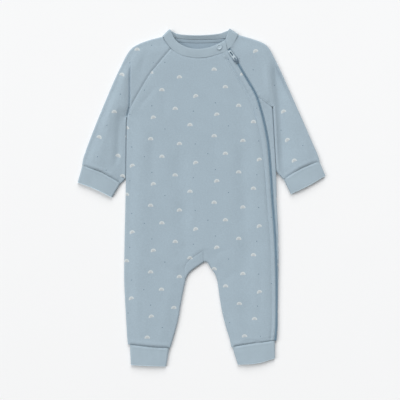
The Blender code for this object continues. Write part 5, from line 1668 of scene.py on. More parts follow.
def copies(name: str, one: Object, frames: Sequence[Matrix]) -> Mesh:
    """Repeats one small object in many places in a single mesh, and removes the first.

    Args:
        name: of the mesh.
        one: the object to repeat.
        frames: the place of each copy.

    Returns:
        The mesh.
    """
    mesh = one.data
    points = np.array([v.co for v in mesh.vertices])
    faces = [list(p.vertices) for p in mesh.polygons]
    count = len(points)
    turns = np.array([[list(r) for r in frame] for frame in frames])
    world = np.einsum("nij,vj->nvi", turns[:, :3, :3], points) + turns[:, None, :3, 3]
    made = bpy.data.meshes.new(name)
    everything = [[n * count + k for k in face] for n in range(len(frames)) for face in faces]
    made.from_pydata(world.reshape(-1, 3).tolist(), [], everything)
    made.shade_smooth()
    bpy.data.objects.remove(one)
    return made


def frames_along(line: Points, pitch: float, lean_deg: float = 0.0) -> list[Matrix]:
    """Stands a frame at each step of a line in space: x along it, z away from the floor.

    Args:
        line: points in millimetres.
        pitch: from one frame to the next.
        lean_deg: how far each one is turned from the line, about its own z.

    Returns:
        The frames, in metres.
    """
    total = lengths(line)[-1]
    count = max(int(total / pitch), 1)
    spots = along(line, (np.arange(count) + 0.5) / count)
    ahead = along(line, np.minimum((np.arange(count) + 0.5) / count + 0.3 * pitch / total, 1.0))
    frames = []
    for spot, front in zip(spots, ahead):
        x = Vector(front - spot).normalized()
        y = Vector((0.0, 0.0, 1.0)).cross(x).normalized()
        z = x.cross(y)
        turned_to = Matrix((x, y, z)).transposed().to_4x4()
        where = shifted(*(spot - (0.0, MIDDLE_Y, 0.0)))
        frames.append(where @ turned_to @ Matrix.Rotation(math.radians(lean_deg), 4, "Z"))
    return frames


@dataclass
class Zip:
    """The closed zip: two tapes, its chain of teeth, and the place of the slider on it."""

    lay: Lay
    tape_width: float = 1.2
    tape_sink: float = 0.35
    tape_wall: float = 1.1
    tooth_pitch: float = 1.35
    tooth: Triple = (0.98, 1.9, 1.0)  # along, across and high
    chain_sink: float = 1.05
    slider_at: float = 23.5
    slider_turn_deg: float = 4.0
    slider_lift: float = 0.3

    @property
    def half_chain(self) -> float:
        """Half the width of the chain between the tapes."""
        return ZIP_WIDTH / 2 - self.tape_width - 2 * SEAM_GAP

    def strip(self, distances: Sequence[float], sinks: Sequence[float], wall: float) -> Cloth:
        """Builds a strip along the whole zip, of lines each sunk below the cloth's face.

        Args:
            distances: of the lines from the zip's middle.
            sinks: how deep each one lies.
            wall: the strip's thickness.

        Returns:
            The strip.
        """
        lines = []
        for distance, sink in zip(distances, sinks):
            laid = self.lay.upper(self.lay.zip_rows(distance))
            down = (laid.inner - laid.outer) / CLOTH
            grain = np.column_stack((np.full(len(down), distance), lengths(laid.outer)))
            lines.append(Net(laid.outer + down * sink, laid.outer + down * (sink + wall), grain))
        return Cloth([Net.joined(lines, np.stack)])

    def tape(self, side: float) -> Cloth:
        """Builds the tape on one side, -1 towards the front and 1 towards the strip.

        Args:
            side: which one.

        Returns:
            The tape.
        """
        start, end = self.half_chain + SEAM_GAP, ZIP_WIDTH / 2 - SEAM_GAP
        across = sorted(side * np.linspace(start, end, 4))
        sinks = [self.tape_sink + 0.12 * abs(k - 1.5) for k in range(4)]
        return self.strip(across, sinks, self.tape_wall)

    def bed(self) -> Cloth:
        """Builds the cords under the teeth, which hold the chain together.

        Returns:
            The cords.
        """
        across = np.linspace(-self.half_chain, self.half_chain, 5)
        sinks = self.chain_sink + 0.15 * np.array((1.0, 0.0, 1.0, 0.0, 1.0))
        return self.strip(across, sinks, 0.5)

    def teeth(self) -> Mesh:
        """Makes one nylon loop and sets copies of it along the closed zip.

        Returns:
            The teeth's mesh.
        """
        bpy.ops.mesh.primitive_uv_sphere_add(segments=10, ring_count=7, radius=0.5 * MM)
        one = bpy.context.active_object
        one.data.transform(Matrix.Rotation(math.pi / 2, 4, "X"))
        for vertex in one.data.vertices:
            across = max(-0.5, min(0.5, vertex.co.y / MM))
            stretch = math.copysign(abs(across * 2) ** 0.55, across) / 2
            width = (1 - abs(across * 2) ** 4) ** 0.25
            flat = Vector((vertex.co.x, vertex.co.z)).normalized() * (0.5 * MM)
            size = (width * self.tooth[0], self.tooth[1] * MM, width * self.tooth[2])
            vertex.co = (flat.x * size[0], stretch * size[1], flat.y * size[2])
        spots = self.lay.upper(self.lay.zip_rows(0.0))
        down = (spots.inner - spots.outer) / CLOTH
        return copies("zip_teeth", one, frames_along(spots.outer + down * 0.55, self.tooth_pitch, 8.0))

    def slider_place(self) -> Matrix:
        """Finds the slider's own frame: x along the zip to the neck, z up, its origin under its middle.

        Returns:
            The frame.
        """
        line = self.lay.zip
        at = self.slider_at / lengths(line)[-1]
        spot = along(line, (at,))[0]
        ahead = along(line, (max(at - 0.01, 0.0),))[0] - spot
        turn_to = math.atan2(ahead[1], ahead[0]) + math.radians(self.slider_turn_deg)
        move = shifted(spot[0], spot[1] - MIDDLE_Y, MIDDLE_HEIGHT + self.slider_lift)
        return move @ Matrix.Rotation(turn_to, 4, "Z")


@dataclass
class Slider:
    """The zip's slider: a shield-shaped plate with the bridge that carries the tab."""

    place: Matrix
    half: Table = (
        (6.3, 0.0), (6.1, 1.5), (5.2, 3.1), (3.9, 4.2), (2.2, 4.35),
        (0.3, 4.1), (-2.5, 3.6), (-5.1, 3.0), (-6.0, 2.2), (-6.3, 1.2),
    )
    wall: float = 1.6
    bridge: Triple = (7.2, 2.2, 3.3)  # length, width, height with its root
    window: Pair = (4.4, 1.9)
    root: float = 0.5
    bar: float = 0.9

    def make(self) -> Object:
        """Cuts the plate and the bridge, and joins them.

        Returns:
            The object, in the garment's frame.
        """
        shield = list(self.half) + [(x, -y) for x, y in reversed(self.half[1:])]
        low = self.place @ shifted(0.0, 0.0, self.wall / 2)
        slider = plate("slider", [shield], self.wall, 0.45, low)
        length, width, height = self.bridge
        arch = rounded_box(length, height, 1.1)
        window = rounded_box(*self.window, 0.5, (0.0, (self.root - self.bar) / 2))
        stand = shifted(0.0, 0.0, self.wall - self.root + height / 2) @ Matrix.Rotation(math.pi / 2, 4, "X")
        bridge = plate("bridge", [arch, window], width, 0.3, self.place @ stand)
        only(slider)
        bridge.select_set(True)
        bpy.ops.object.join()
        return bpy.context.active_object


@dataclass
class PullTab:
    """The zip's tab, whose cross bar lies in the bridge's window. It turns up and over on its hinge."""

    place: Matrix
    slider_wall: float = 1.6
    window_height: float = 1.9
    length: float = 20.5
    width: float = 5.4
    corner: float = 1.8
    wall: float = 1.0
    bar: float = 0.55
    eye: Pair = (4.5, 3.0)
    hollow: Triple = (9.0, 18.0, 2.6)
    droop_deg: float = 3.0

    def make(self) -> Object:
        """Cuts the tab with its eye and its long hollow.

        Returns:
            The object, in the garment's frame.
        """
        middle = ((self.length - self.bar) / 2, 0.0)
        edge = rounded_box(self.length + self.bar, self.width, self.corner, middle)
        eye_length, eye_width = self.eye
        eye = rounded_box(eye_length - self.bar, eye_width, 0.5, ((self.bar + eye_length) / 2, 0.0))
        start, end, wide = self.hollow
        hollow = rounded_box(end - start, wide, wide / 2 - 0.02, ((start + end) / 2, 0.0))
        hinge = shifted(0.0, 0.0, self.slider_wall + self.window_height / 2)
        tilt = Matrix.Rotation(math.radians(self.droop_deg), 4, "Y")
        return plate("pull_tab_plate", [edge, eye, hollow], self.wall, 0.3, self.place @ hinge @ tilt)


@dataclass
class Snap:
    """The press stud's cap on the neckband's front end: a flat ring with a dished middle."""

    at: Pair = (32.0, 269.8)
    base: float = 8.85
    profile: Table = (
        (0, 0.75), (0.9, 0.72), (1.5, 0.62), (2.5, 0.66), (3, 0.78), (3.35, 1.25), (3.7, 1.5), (4.2, 1.5),
        (4.65, 1.3), (4.9, 0.85), (5, 0.4), (4.9, 0), (0, 0),
    )

    def make(self) -> Object:
        """Turns the cap from its profile.

        Returns:
            The object, in the garment's frame.
        """
        bpy.ops.mesh.primitive_circle_add(vertices=len(self.profile) - 1, radius=1.0)
        cap = bpy.context.active_object
        cap.name = cap.data.name = "snap_ring"
        bm = bmesh.new()
        points = [bm.verts.new((x * MM, 0.0, z * MM)) for x, z in self.profile]
        edges = [bm.edges.new(pair) for pair in zip(points, points[1:])]
        turn = {"cent": (0, 0, 0), "axis": (0, 0, 1), "angle": 2 * math.pi, "steps": 48, "use_merge": True}
        bmesh.ops.spin(bm, geom=points + edges, **turn)
        bmesh.ops.remove_doubles(bm, verts=bm.verts[:], dist=1e-7)
        bmesh.ops.recalc_face_normals(bm, faces=bm.faces[:])
        bm.to_mesh(cap.data)
        bm.free()
        cap.data.transform(shifted(self.at[0], self.at[1] - MIDDLE_Y, self.base))
        cap.data.shade_smooth()
        return cap


@dataclass
class Stitching:
    """Rows of stitches that show on the cloth's face."""

    lay: Lay
    length: float = 2.5
    thick: float = 0.42
    high: float = 0.3
    pitch: float = 2.95

    def one(self) -> Object:
        """Makes one stitch, a thread that dips at both ends.

        Returns:
            The stitch.
        """
        bpy.ops.mesh.primitive_uv_sphere_add(segments=8, ring_count=7, radius=0.5)
        piece = bpy.context.active_object
        piece.data.transform(Matrix.Rotation(math.pi / 2, 4, "Y"))
        for vertex in piece.data.vertices:
            x, y, z = vertex.co
            vertex.co = Vector((x * self.length, y * self.thick, z * self.high - 0.9 * x**4)) * MM
        return piece

    def rows(self, name: str, lines: Sequence[Points]) -> Mesh:
        """Sews rows of stitches along lines of the plan.

        Args:
            name: of the mesh.
            lines: the rows.

        Returns:
            The mesh.
        """
        frames = []
        for line in lines:
            dense = even(line, int(lengths(line)[-1] / 1.4))
            frames += frames_along(self.lay.on_cloth(dense, 0.1), self.pitch)
        return copies(name, self.one(), frames)


def feed(tree: NodeTree, slot: NodeSocket, value: object) -> None:
    """Links a signal or a socket to an input, or sets the input to a fixed value.

    Args:
        tree: holds the links.
        slot: the input.
        value: a signal, a socket or a fixed value.
    """
    source = getattr(value, "socket", value)
    if isinstance(source, NodeSocket):
        tree.links.new(source, slot)
    else:
        slot.default_value = (*value, 1.0) if slot.type == "RGBA" else value


def added(tree: NodeTree, kind: str, inputs: dict, **settings: object) -> Node:
    """Adds a node.

    Args:
        tree: takes the node.
        kind: of the node.
        inputs: what goes into it, by an input's name or number.
        settings: its properties.

    Returns:
        The node.
    """
    node = tree.nodes.new(kind)
    for name, value in settings.items():
        setattr(node, name, value)
    for name, value in inputs.items():
        feed(tree, node.inputs[name], value)
    return node


@dataclass(frozen=True)
class Signal:
    """A number that changes over a surface, as the output of a node."""

    tree: NodeTree
    socket: NodeSocket

    def math(self, operation: str, *others: "Signal | float") -> "Signal":
        """Adds a Math node that takes this number first."""
        terms = dict(enumerate((self, *others)))
        return Signal(self.tree, added(self.tree, "ShaderNodeMath", terms, operation=operation).outputs[0])

    def __add__(self, other: "Signal | float") -> "Signal":
        """Adds."""
        return self.math("ADD", other)

    def __sub__(self, other: "Signal | float") -> "Signal":
        """Subtracts."""
        return self.math("SUBTRACT", other)

    def __mul__(self, other: "Signal | float") -> "Signal":
        """Multiplies."""
        return self.math("MULTIPLY", other)

    def wave(self, length: float) -> "Signal":
        """Swings between 0 and 1 once for each length."""
        return (self * (2 * math.pi / length)).math("SINE") * 0.5 + 0.5

    def step(self, start: float, end: float) -> "Signal":
        """Rises smoothly from 0 to 1 between two values, which may be in falling order.

        Args:
            start: where it is 0.
            end: where it is 1.

        Returns:
            The stepped signal.
        """
        rises = float(start < end)
        inputs = {"Value": self, "From Min": min(start, end), "From Max": max(start, end)}
        inputs |= {"To Min": 1.0 - rises, "To Max": rises}
        node = added(self.tree, "ShaderNodeMapRange", inputs, interpolation_type="SMOOTHSTEP")
        return Signal(self.tree, node.outputs["Result"])


def axes(tree: NodeTree, place: NodeSocket) -> list[Signal]:
    """Reads the first two coordinates of a place."""
    apart = added(tree, "ShaderNodeSeparateXYZ", {0: place})
    return [Signal(tree, apart.outputs[k]) for k in (0, 1)]


def grain_axes(tree: NodeTree) -> list[Signal]:
    """Reads the cloth's grain in millimetres, along its courses and its wales."""
    where = added(tree, "ShaderNodeUVMap", {}, uv_map="grain")
    return [axis * 1000.0 for axis in axes(tree, where.outputs["UV"])]


def object_place(tree: NodeTree) -> NodeSocket:
    """Finds a place on the object, in metres."""
    return tree.nodes.new("ShaderNodeTexCoord").outputs["Object"]


def noise(tree: NodeTree, size_mm: float, detail: float = 2.0) -> Signal:
    """Adds soft noise over the object."""
    inputs = {"Scale": 1.0 / (size_mm * MM), "Detail": detail, "Vector": object_place(tree)}
    return Signal(tree, added(tree, "ShaderNodeTexNoise", inputs).outputs["Fac"])


def blended(tree: NodeTree, mask: Signal, low: object, high: object) -> NodeSocket:
    """Mixes two colours, each a socket or a fixed colour, by a mask.

    Args:
        tree: takes the node.
        mask: 0 for the first colour, 1 for the second.
        low: the first colour.
        high: the second colour.

    Returns:
        The mixed colour.
    """
    node = added(tree, "ShaderNodeMix", {"Factor": mask}, data_type="RGBA")
    for name, value in (("A", low), ("B", high)):
        feed(tree, next(s for s in node.inputs if s.name == name and s.type == "RGBA"), value)
    return next(s for s in node.outputs if s.type == "RGBA")


class Effects:
    """Node groups that several finishes share."""

    def __init__(self) -> None:
        """Makes each group once."""
        self.knit = self.knit_height()
        self.arc = self.arc_mark()
        self.dot = self.dot_mark()
        self.print = self.print_masks()

    @staticmethod
    def group(name: str, *inputs: str) -> tuple[NodeTree, list[Signal]]:
        """Starts a group that takes numbers, and gives it with them.

        Args:
            name: of the group.
            inputs: their names.

        Returns:
            The group and its inputs.
        """
        tree = bpy.data.node_groups.new(name, "ShaderNodeTree")
        for label in inputs:
            tree.interface.new_socket(label, in_out="INPUT", socket_type="NodeSocketFloat")
        start = tree.nodes.new("NodeGroupInput")
        return tree, [Signal(tree, socket) for socket in start.outputs[: len(inputs)]]

    @staticmethod
    def giving(tree: NodeTree, **outputs: Signal) -> NodeTree:
        """Gives a group its outputs.

        Args:
            tree: the group.
            outputs: what it gives, by name.

        Returns:
            The group.
        """
        for label in outputs:
            tree.interface.new_socket(label, in_out="OUTPUT", socket_type="NodeSocketFloat")
        added(tree, "NodeGroupOutput", outputs)
        return tree

    @staticmethod
    def use(tree: NodeTree, group: NodeTree, *outputs: str, **inputs: "Signal | float") -> list[Signal]:
        """Adds a group to a tree, with its inputs by name, and reads its outputs."""
        node = added(tree, "ShaderNodeGroup", inputs, node_tree=group)
        return [Signal(tree, node.outputs[label]) for label in outputs]

    def knit_height(self) -> NodeTree:
        """Makes the height of fine jersey: columns of small V stitches.

        Returns:
            The group.
        """
        tree, (u, v) = self.group("knit height", "u", "v")
        wale, course = 0.95, 0.72
        side = (u * (1.0 / wale)).math("PINGPONG", 0.5)
        ridge = (side * (2 * math.pi)).math("SINE").math("POWER", 0.7)
        loop = (v * (1.0 / course) + side * 1.1).wave(1.0)
        return self.giving(tree, height=ridge * (loop * 0.6 + 0.4))

    @staticmethod
    def place_in_repeat(u: Signal, v: Signal, x: Signal, y: Signal) -> tuple[Signal, Signal]:
        """Finds how far a place of the cloth is from the nearest copy of a mark.

        Args:
            u: across the cloth.
            v: up the cloth.
            x: of the mark.
            y: of the mark.

        Returns:
            How far across, and how far up.
        """
        away = u - x
        copy = (away * (1.0 / REPEAT_X)).math("ROUND")
        up = (v - y - copy * REPEAT_RISE).math("WRAP", REPEAT_Y / 2, -REPEAT_Y / 2)
        return away - copy * REPEAT_X, up

    def arc_mark(self) -> NodeTree:
        """Makes one double arc of the print: an outer band, an inner one, and nothing below its feet.

        Returns:
            The group.
        """
        tree, (*place, cosine, sine) = self.group("arc mark", "u", "v", "x", "y", "cosine", "sine")
        across, up = self.place_in_repeat(*place)
        flat = across * cosine + up * sine
        high = up * cosine - across * sine
        radius = (flat * flat + high * high).math("SQRT")
        above = high.step(-1.2, -0.5)
        outer = radius.step(2.4, 2.9) * radius.step(5.2, 4.4) * above
        return self.giving(tree, outer=outer, inner=radius.step(0.5, 1.0) * radius.step(2.5, 1.9) * above)

    def dot_mark(self) -> NodeTree:
        """Makes one small dot of the print.

        Returns:
            The group.
        """
        tree, place = self.group("dot mark", "u", "v", "x", "y")
        across, up = self.place_in_repeat(*place)
        return self.giving(tree, dot=(across * across + up * up).math("SQRT").step(1.1, 0.7))

    def print_masks(self) -> NodeTree:
        """Makes the whole print: arcs and dots at their places in the repeat, with worn, soft ink.

        Returns:
            The group.
        """
        tree, (u, v) = self.group("print masks", "u", "v")
        u, v = (axis + (noise(tree, size, 1.0) - 0.5) * 0.7 for axis, size in ((u, 5.0), (v, 4.0)))
        marks = {"outer": [], "inner": [], "dot": []}
        for x, y, lean in ARCS:
            lean = math.radians(lean)
            turn = {"cosine": math.cos(lean), "sine": math.sin(lean)}
            outer, inner = self.use(tree, self.arc, "outer", "inner", u=u, v=v, x=x, y=y, **turn)
            marks["outer"].append(outer)
            marks["inner"].append(inner)
        marks["dot"] = [self.use(tree, self.dot, "dot", u=u, v=v, x=x, y=y)[0] for x, y in DOTS]
        worn = noise(tree, 1.1, 3.0).step(0.25, 0.6) * 0.3 + 0.7
        most = {label: reduce(lambda a, b: a.math("MAXIMUM", b), some) for label, some in marks.items()}
        return self.giving(tree, **{label: mark * worn for label, mark in most.items()})


@dataclass
class Look:
    """What a finish draws: its colour, its fine height from 0 to 1, and the shader's other inputs."""

    colour: NodeSocket
    height: Signal | None = None
    depth_mm: float = 0.0
    inputs: dict[str, object] = field(default_factory=dict)


@dataclass(frozen=True)
class Finish:
    """A surface: its colour and gloss, with the detail that its own kind adds."""

    name: str
    colour: Triple
    roughness: float = 0.9

    def look(self, tree: NodeTree, effects: Effects) -> Look:
        """Draws the surface with nodes, which each kind of finish does in its own way.

        Args:
            tree: the material's nodes.
            effects: the node groups that it may use.

        Returns:
            What the surface looks like.
        """
        raise NotImplementedError

    def material(self, effects: Effects) -> Material:
        """Makes the material.

        Args:
            effects: the node groups that it may use.

        Returns:
            The material.
        """
        made = bpy.data.materials.new(self.name)
        made.use_nodes = True
        tree = made.node_tree
        look = self.look(tree, effects)
        inputs = {"Roughness": self.roughness, "Base Color": look.colour, **look.inputs}
        if look.height:
            height = {"Strength": 1.0, "Distance": look.depth_mm * MM, "Height": look.height}
            inputs["Normal"] = added(tree, "ShaderNodeBump", height).outputs["Normal"]
        for name, value in inputs.items():
            feed(tree, tree.nodes["Principled BSDF"].inputs[name], value)
        return made

    def shades(self, tree: NodeTree, mask: Signal, spread: float) -> NodeSocket:
        """Varies the colour a little on both sides by a mask.

        Args:
            tree: the material's nodes.
            mask: 0 for dark, 1 for light.
            spread: how far each way.

        Returns:
            The colour.
        """
        dark = tuple(c * (1 - spread) for c in self.colour)
        light = tuple(min(c * (1 + spread), 1.0) for c in self.colour)
        return blended(tree, mask, dark, light)


@dataclass(frozen=True)
class JerseyFinish(Finish):
    """Fine single jersey, printed on its face or plain."""

    printed: bool = True
    bare: Sequence[tuple[float, float, float, float]] = ()  # without print: lowest, highest u, then v
    cream: Triple = (0.63, 0.675, 0.68)
    sand: Triple = (0.58, 0.58, 0.565)
    ink: Triple = (0.13, 0.20, 0.27)

    def look(self, tree: NodeTree, effects: Effects) -> Look:
        """Draws the jersey.

        Args:
            tree: the material's nodes.
            effects: the node groups that it may use.

        Returns:
            What the surface looks like.
        """
        u, v = grain_axes(tree)
        fibre = noise(tree, 0.5, 3.0) * 0.5 + noise(tree, 2.6) * 0.4 + noise(tree, 26.0) * 0.1
        colour = self.shades(tree, fibre.step(0.3, 0.7), 0.07)
        if self.printed:
            masks = effects.use(tree, effects.print, "outer", "inner", "dot", u=u, v=v)
            for left, right, low, high in self.bare:
                inside = u.math("GREATER_THAN", left) * u.math("LESS_THAN", right)
                inside = inside * v.math("GREATER_THAN", low) * v.math("LESS_THAN", high)
                masks = [mask * (inside * -1.0 + 1.0) for mask in masks]
            for mask, paint in zip(masks, (self.cream, self.sand, self.ink)):
                colour = blended(tree, mask, colour, paint)
        (knit,) = effects.use(tree, effects.knit, "height", u=u, v=v)
        return Look(colour, knit * 0.75 + noise(tree, 0.35) * 0.25, 0.12, NAP)


@dataclass(frozen=True)
class RibFinish(Finish):
    """One-by-one rib, whose ribs are in the mesh, with its stitches along them."""

    def look(self, tree: NodeTree, effects: Effects) -> Look:
        """Draws the rib, with painted shade in its grooves and painted light along a cuff's free end.

        Args:
            tree: the material's nodes.
            effects: the node groups that it may use.

        Returns:
            What the surface looks like.
        """
        u, v = grain_axes(tree)
        fibre = noise(tree, 0.5, 3.0) * 0.55 + noise(tree, 18.0) * 0.45
        groove = (u * (2 * math.pi / RIB_PITCH)).math("COSINE") * -0.5 + 0.5
        colour = self.shades(tree, fibre.step(0.3, 0.7), 0.05)
        # painted shade: the colour is darkened in the rib's grooves, which the mesh already sinks, where
        # shade falls in them
        deep = tuple(c * 0.86 for c in self.colour)
        # painted light: the last 1.5 mm before a cuff's free end is drawn much paler, to lighten the rounded
        # end that lies in shade
        pale = tuple(min(c * 1.75, 0.95) for c in self.colour)
        colour = blended(tree, v.step(1.5, 0.5), blended(tree, groove * 0.5, colour, deep), pale)
        loops = (v * (2 * math.pi / 0.8) + groove * 1.5).math("SINE") * 0.5 + 0.5
        return Look(colour, loops * 0.6 + noise(tree, 0.35) * 0.4, 0.1, NAP)


@dataclass(frozen=True)
class TapeFinish(Finish):
    """Woven zip tape with a fine twill."""

    def look(self, tree: NodeTree, effects: Effects) -> Look:
        """Draws the tape.

        Args:
            tree: the material's nodes.
            effects: the node groups that it may use.

        Returns:
            What the surface looks like.
        """
        u, v = grain_axes(tree)
        twill = (u + v).wave(0.55)
        colour = self.shades(tree, twill * 0.6 + noise(tree, 0.6) * 0.4, 0.12)
        return Look(colour, twill, 0.08, {"Specular IOR Level": 0.35})


@dataclass(frozen=True)
class ThreadFinish(Finish):
    """Twisted sewing thread, or the drawn nylon of the teeth."""

    twist_mm: float = 0.28
    twist_depth_mm: float = 0.05

    def look(self, tree: NodeTree, effects: Effects) -> Look:
        """Draws the thread.

        Args:
            tree: the material's nodes.
            effects: the node groups that it may use.

        Returns:
            What the surface looks like.
        """
        x, y = axes(tree, object_place(tree))
        twist = (x + y).wave(self.twist_mm * MM)
        return Look(self.shades(tree, noise(tree, 0.9), 0.08), twist, self.twist_depth_mm)


@dataclass(frozen=True)
class EnamelFinish(Finish):
    """Satin enamel over die-cast metal, slightly uneven and rubbed."""

    coat: float = 0.35

    def look(self, tree: NodeTree, effects: Effects) -> Look:
        """Draws the enamel.

        Args:
            tree: the material's nodes.
            effects: the node groups that it may use.

        Returns:
            What the surface looks like.
        """
        rub = noise(tree, 1.2, 4.0).step(0.2, 0.8) * 0.16 + (self.roughness - 0.08)
        gloss = {"Roughness": rub, "Coat Weight": self.coat, "Coat Roughness": 0.25}
        return Look(self.shades(tree, noise(tree, 3.0, 3.0), 0.05), noise(tree, 1.6), 0.03, gloss)


@dataclass(frozen=True)
class FloorFinish(Finish):
    """Smooth pale paper."""

    def look(self, tree: NodeTree, effects: Effects) -> Look:
        """Draws the paper, lighter towards +Y as painted light falloff.

        Args:
            tree: the material's nodes.
            effects: the node groups that it may use.

        Returns:
            What the surface looks like.
        """
        _, y = axes(tree, object_place(tree))
        # painted light: the floor is drawn lighter towards +Y, the lamps' side, standing for the light
        # falling off across it; the slow noise on top is random tone
        mask = y.step(-0.6, 0.4) * 0.8 + noise(tree, 90.0) * 0.2
        return Look(self.shades(tree, mask, 0.022), inputs={"Specular IOR Level": 0.1})


@dataclass
class Studio:
    """The floor, the lights and the camera straight above."""

    height: float = 3.0
    field: float = 0.72
    middle: Pair = (-0.0027, -0.00476)
    ambient: float = 0.34
    lamps: Sequence[tuple[str, Triple, float, float]] = (
        ("window_light", (0.02, 0.80, 0.60), 2.03, 48.0),  # name, direction, strength, softness in degrees
        ("side_light", (-0.72, 0.10, 0.68), 1.22, 40.0),
    )

    def build(self, floor: Material) -> None:
        """Sets everything up around the origin.

        Args:
            floor: the ground's material.
        """
        bpy.ops.object.select_all(action="DESELECT")
        bpy.ops.mesh.primitive_plane_add(size=8.0, location=(0.0, 0.0, 0.0))
        ground = bpy.context.active_object
        ground.name = "floor"
        ground.data.transform(Matrix.Translation((0.0, 0.0, -0.0002)))
        ground.data.materials.append(floor)
        world = bpy.data.worlds.new("soft_room")
        world.use_nodes = True
        back = world.node_tree.nodes["Background"]
        back.inputs["Color"].default_value = (1.0, 1.0, 1.0, 1.0)
        back.inputs["Strength"].default_value = self.ambient
        bpy.context.scene.world = world
        for name, direction, strength, softness in self.lamps:
            lamp = bpy.data.lights.new(name, "SUN")
            lamp.energy = strength
            lamp.angle = math.radians(softness)
            stand = linked(name, lamp)
            stand.location = direction
            stand.rotation_euler = (-Vector(direction)).to_track_quat("-Z", "Y").to_euler()
        camera = bpy.data.cameras.new("camera")
        camera.sensor_width = 36.0
        camera.lens = 36.0 * self.height / self.field
        camera.clip_start = 0.05
        view = linked("camera", camera)
        view.location = (*self.middle, self.height)
        bpy.context.scene.camera = view
        bpy.context.scene.view_settings.view_transform = "Standard"


class Slot(Enum):
    """The record's finishes."""

    PRINTED_KNIT = "printed_knit"
    RIB_KNIT = "rib_knit"
    ZIP_TAPE = "zip_tape"
    ZIP_COIL = "zip_coil"
    ZIP_METAL = "zip_metal"
    SNAP = "snap"


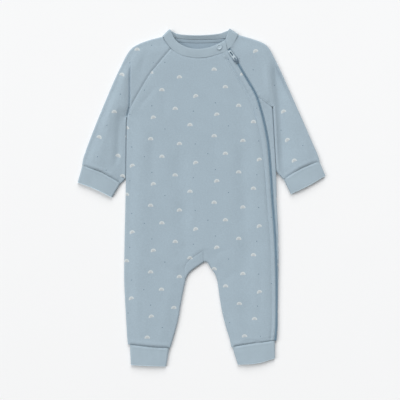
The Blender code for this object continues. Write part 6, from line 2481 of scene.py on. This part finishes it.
@dataclass
class Sleepsuit:
    """The whole garment: makes each piece, dresses it and hides the solid that it stands for."""

    lay: Lay = field(default_factory=Lay)
    effects: Effects = field(default_factory=Effects)

    def __post_init__(self) -> None:
        """Makes the materials, each known by its finish's name."""
        knit = (0.372, 0.465, 0.533)
        finishes = (
            JerseyFinish("front knit", knit, bare=(CHEST_BARE,)),
            JerseyFinish("sleeve knit", knit, bare=SLEEVES_BARE),
            JerseyFinish("printed knit", knit),
            # painted shade: the plain reverse is drawn darker than the face's knit, standing for the shade
            # inside the neck where it shows
            JerseyFinish("knit reverse with painted shade", (0.306, 0.396, 0.470), printed=False),
            RibFinish("rib knit", (0.392, 0.487, 0.553)),
            TapeFinish("zip tape", (0.28, 0.41, 0.50)),
            ThreadFinish("zip nylon", (0.19, 0.29, 0.40), 0.45, 0.5, 0.02),
            # painted shade: the neck tape is drawn darker than the rib knit, standing for the shade inside
            # the back neck where it lies
            RibFinish("neck tape rib with painted shade", (0.30, 0.385, 0.45)),
            ThreadFinish("sewing thread", (0.50, 0.60, 0.66), 0.7),
            # painted shade: the slider's enamel is drawn much darker than the tab's, standing for the shade
            # round and under the slider
            EnamelFinish("slider enamel with painted shade", (0.17, 0.24, 0.31), 0.38),
            EnamelFinish("tab enamel", (0.50, 0.60, 0.66), 0.36),
            EnamelFinish("snap plastic", (0.43, 0.53, 0.60), 0.3, 0.5),
        )
        self.surfaces = {finish.name: finish.material(self.effects) for finish in finishes}

    def sheet(
        self,
        name: str,
        cloth: Cloth,
        surfaces: tuple[str, str],
        node: str,
        cut: Pair | None = None,
    ) -> None:
        """Makes one piece of cloth, hides the solid that it stands for and logs what it was cut to.

        Args:
            name: of the piece.
            cloth: its nets.
            surfaces: the names of its face's and its reverse's materials.
            node: the solid that it stands for.
            cut: the width and length that it was cut to, where its laid shape isn't that.
        """
        piece = placed(cloth.mesh(name), [self.surfaces[surface] for surface in surfaces])
        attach(piece, GARMENT)
        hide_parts(node)
        width, length = cut or cloth.cut_size()
        area = min(max(cloth.cut_area(), LEAST_FILL * width * length), width * length)
        triangles = sum(len(p.vertices) - 2 for p in piece.data.polygons)
        log.info("%s: %d triangles, cut %.3f x %.3f m", name, triangles, width, length)

    def small(self, piece: Object, surface: str, slot: Slot, *nodes: str) -> None:
        """Dresses one small piece, attaches it to its body and hides the solids that it stands for.

        Args:
            piece: the finished object.
            surface: its material's name.
            slot: the record's finish; not used.
            nodes: the solids that it stands for.
        """
        piece.data.materials.clear()
        piece.data.materials.append(self.surfaces[surface])
        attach(piece, PULL_TAB if "zip_pull" in nodes else GARMENT)
        if nodes:
            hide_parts(*nodes)
        log.info("%s: %d faces", piece.name, len(piece.data.polygons))

    def build_panels(self) -> None:
        """Makes the pieces cut from the printed knit."""
        body = Body(self.lay)
        front, gusset = body.front_and_gusset()
        back, strip = body.back(), body.strip()
        for name, cloth, face, node, rests_on, cut in (
            ("back_panel", back, "printed knit", "back_body", (), None),
            ("front_panel", front, "front knit", "front_body", ON_BACK, None),
            ("gusset_panel", gusset, "printed knit", "crotch_gusset", ON_BACK, None),
            ("side_panel", strip, "printed knit", "side_strip", ON_BACK, strip.strip_cut(1, 1.25)),
            ("sleeve_panel_right", left_sleeve(self.lay).cloth(), "sleeve knit", "sleeve_right", (), None),
            ("sleeve_panel_left", right_sleeve(self.lay).cloth(), "sleeve knit", "sleeve_left", (), None),
        ):
            self.sheet(name, cloth, (face, "knit reverse with painted shade"), node, cut)

    def build_ribs(self) -> None:
        """Makes the cuffs, the neckband and the neck tape."""
        rib = ("rib knit", "rib knit")
        for node, cuff in (
            ("cuff_sleeve_right", Cuff(WRIST_LEFT, CUFF_SLEEVE_LEFT, (0.8, 0.8))),
            ("cuff_sleeve_left", Cuff(WRIST_RIGHT, CUFF_SLEEVE_RIGHT, (0.8, 0.8))),
            ("cuff_leg_right", Cuff(LEFT_HEM, CUFF_LEG_LEFT, (3.6, 1.6))),
            ("cuff_leg_left", Cuff(RIGHT_HEM[::-1], CUFF_LEG_RIGHT, (3.6, 1.6))),
        ):
            self.sheet(node.replace("cuff", "rib_cuff"), cuff.cloth(), rib, node)
        band, tape = Neckband().cloth(), NeckTape().cloth()
        self.sheet("rib_neckband", band, rib, "neckband", band.strip_cut(0, 1.05))
        lining = ("neck tape rib with painted shade", "neck tape rib with painted shade")
        cut = (tape.cut_size()[0], TAPE_CUT)
        self.sheet("neck_seam_tape", tape, lining, "neck_tape", cut)

    def build_zip(self) -> None:
        """Makes the tapes, the chain, the slider, the tab and the snap."""
        closure, both = Zip(self.lay), ("zip tape", "zip tape")
        for edge, side in (("front", -1.0), ("side", 1.0)):
            tape = closure.tape(side)
            cut = (LEAST_CUT, tape.cut_size()[1])
            self.sheet(f"woven_tape_{edge}", tape, both, f"zip_tape_{edge}", cut)
        place = closure.slider_place()
        self.small(placed(closure.bed().mesh("zip_cords"), ()), "zip tape", Slot.ZIP_TAPE)
        self.small(placed(closure.teeth(), ()), "zip nylon", Slot.ZIP_COIL, "zip_coil")
        self.small(Slider(place).make(), "slider enamel with painted shade", Slot.ZIP_METAL, "zip_slider")
        self.small(PullTab(place).make(), "tab enamel", Slot.ZIP_METAL, "zip_pull")
        self.small(Snap().make(), "snap plastic", Slot.SNAP, "snap_cap")

    def build_stitches(self) -> None:
        """Sews the rows that show beside the zip and the raglan seams."""
        stitching = Stitching(self.lay)
        by_zip = self.lay.zip
        right = moved(by_zip, TOPSTITCH_RIGHT)
        shifted = ([(y, d - shift) for y, d in TOPSTITCH_LEFT] for shift in TOPSTITCH_SHIFTS)
        raglan, side_raglan = smooth_line(RAGLAN_LEFT), smooth_line(RAGLAN_RIGHT)
        for name, lines in (
            ("raglan_stitches", [moved(raglan, -distance) for distance in COVER_ROWS]),
            ("zip_stitches", [self.lay.beside(by_zip, table)[3:-2] for table in shifted]),
            ("sleeve_zip_stitches", [right[right[:, 1] > TOPSTITCH_RIGHT_ABOVE_Y][2:]]),
            ("side_raglan_stitches", [moved(side_raglan, d)[2:-1] for d in SIDE_COVER_ROWS]),
        ):
            self.small(placed(stitching.rows(name, lines), ()), "sewing thread", Slot.PRINTED_KNIT)

    def build(self) -> None:
        """Makes everything."""
        self.build_panels()
        self.build_ribs()
        self.build_zip()
        self.build_stitches()


def main() -> None:
    """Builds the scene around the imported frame."""
    logging.basicConfig(level=logging.INFO, format="%(message)s")
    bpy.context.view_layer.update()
    suit = Sleepsuit()
    suit.build()
    Studio().build(FloorFinish("pale floor with painted light falloff", (0.93, 0.935, 0.94), 0.95).material(suit.effects))


if __name__ == "__main__":
    main()
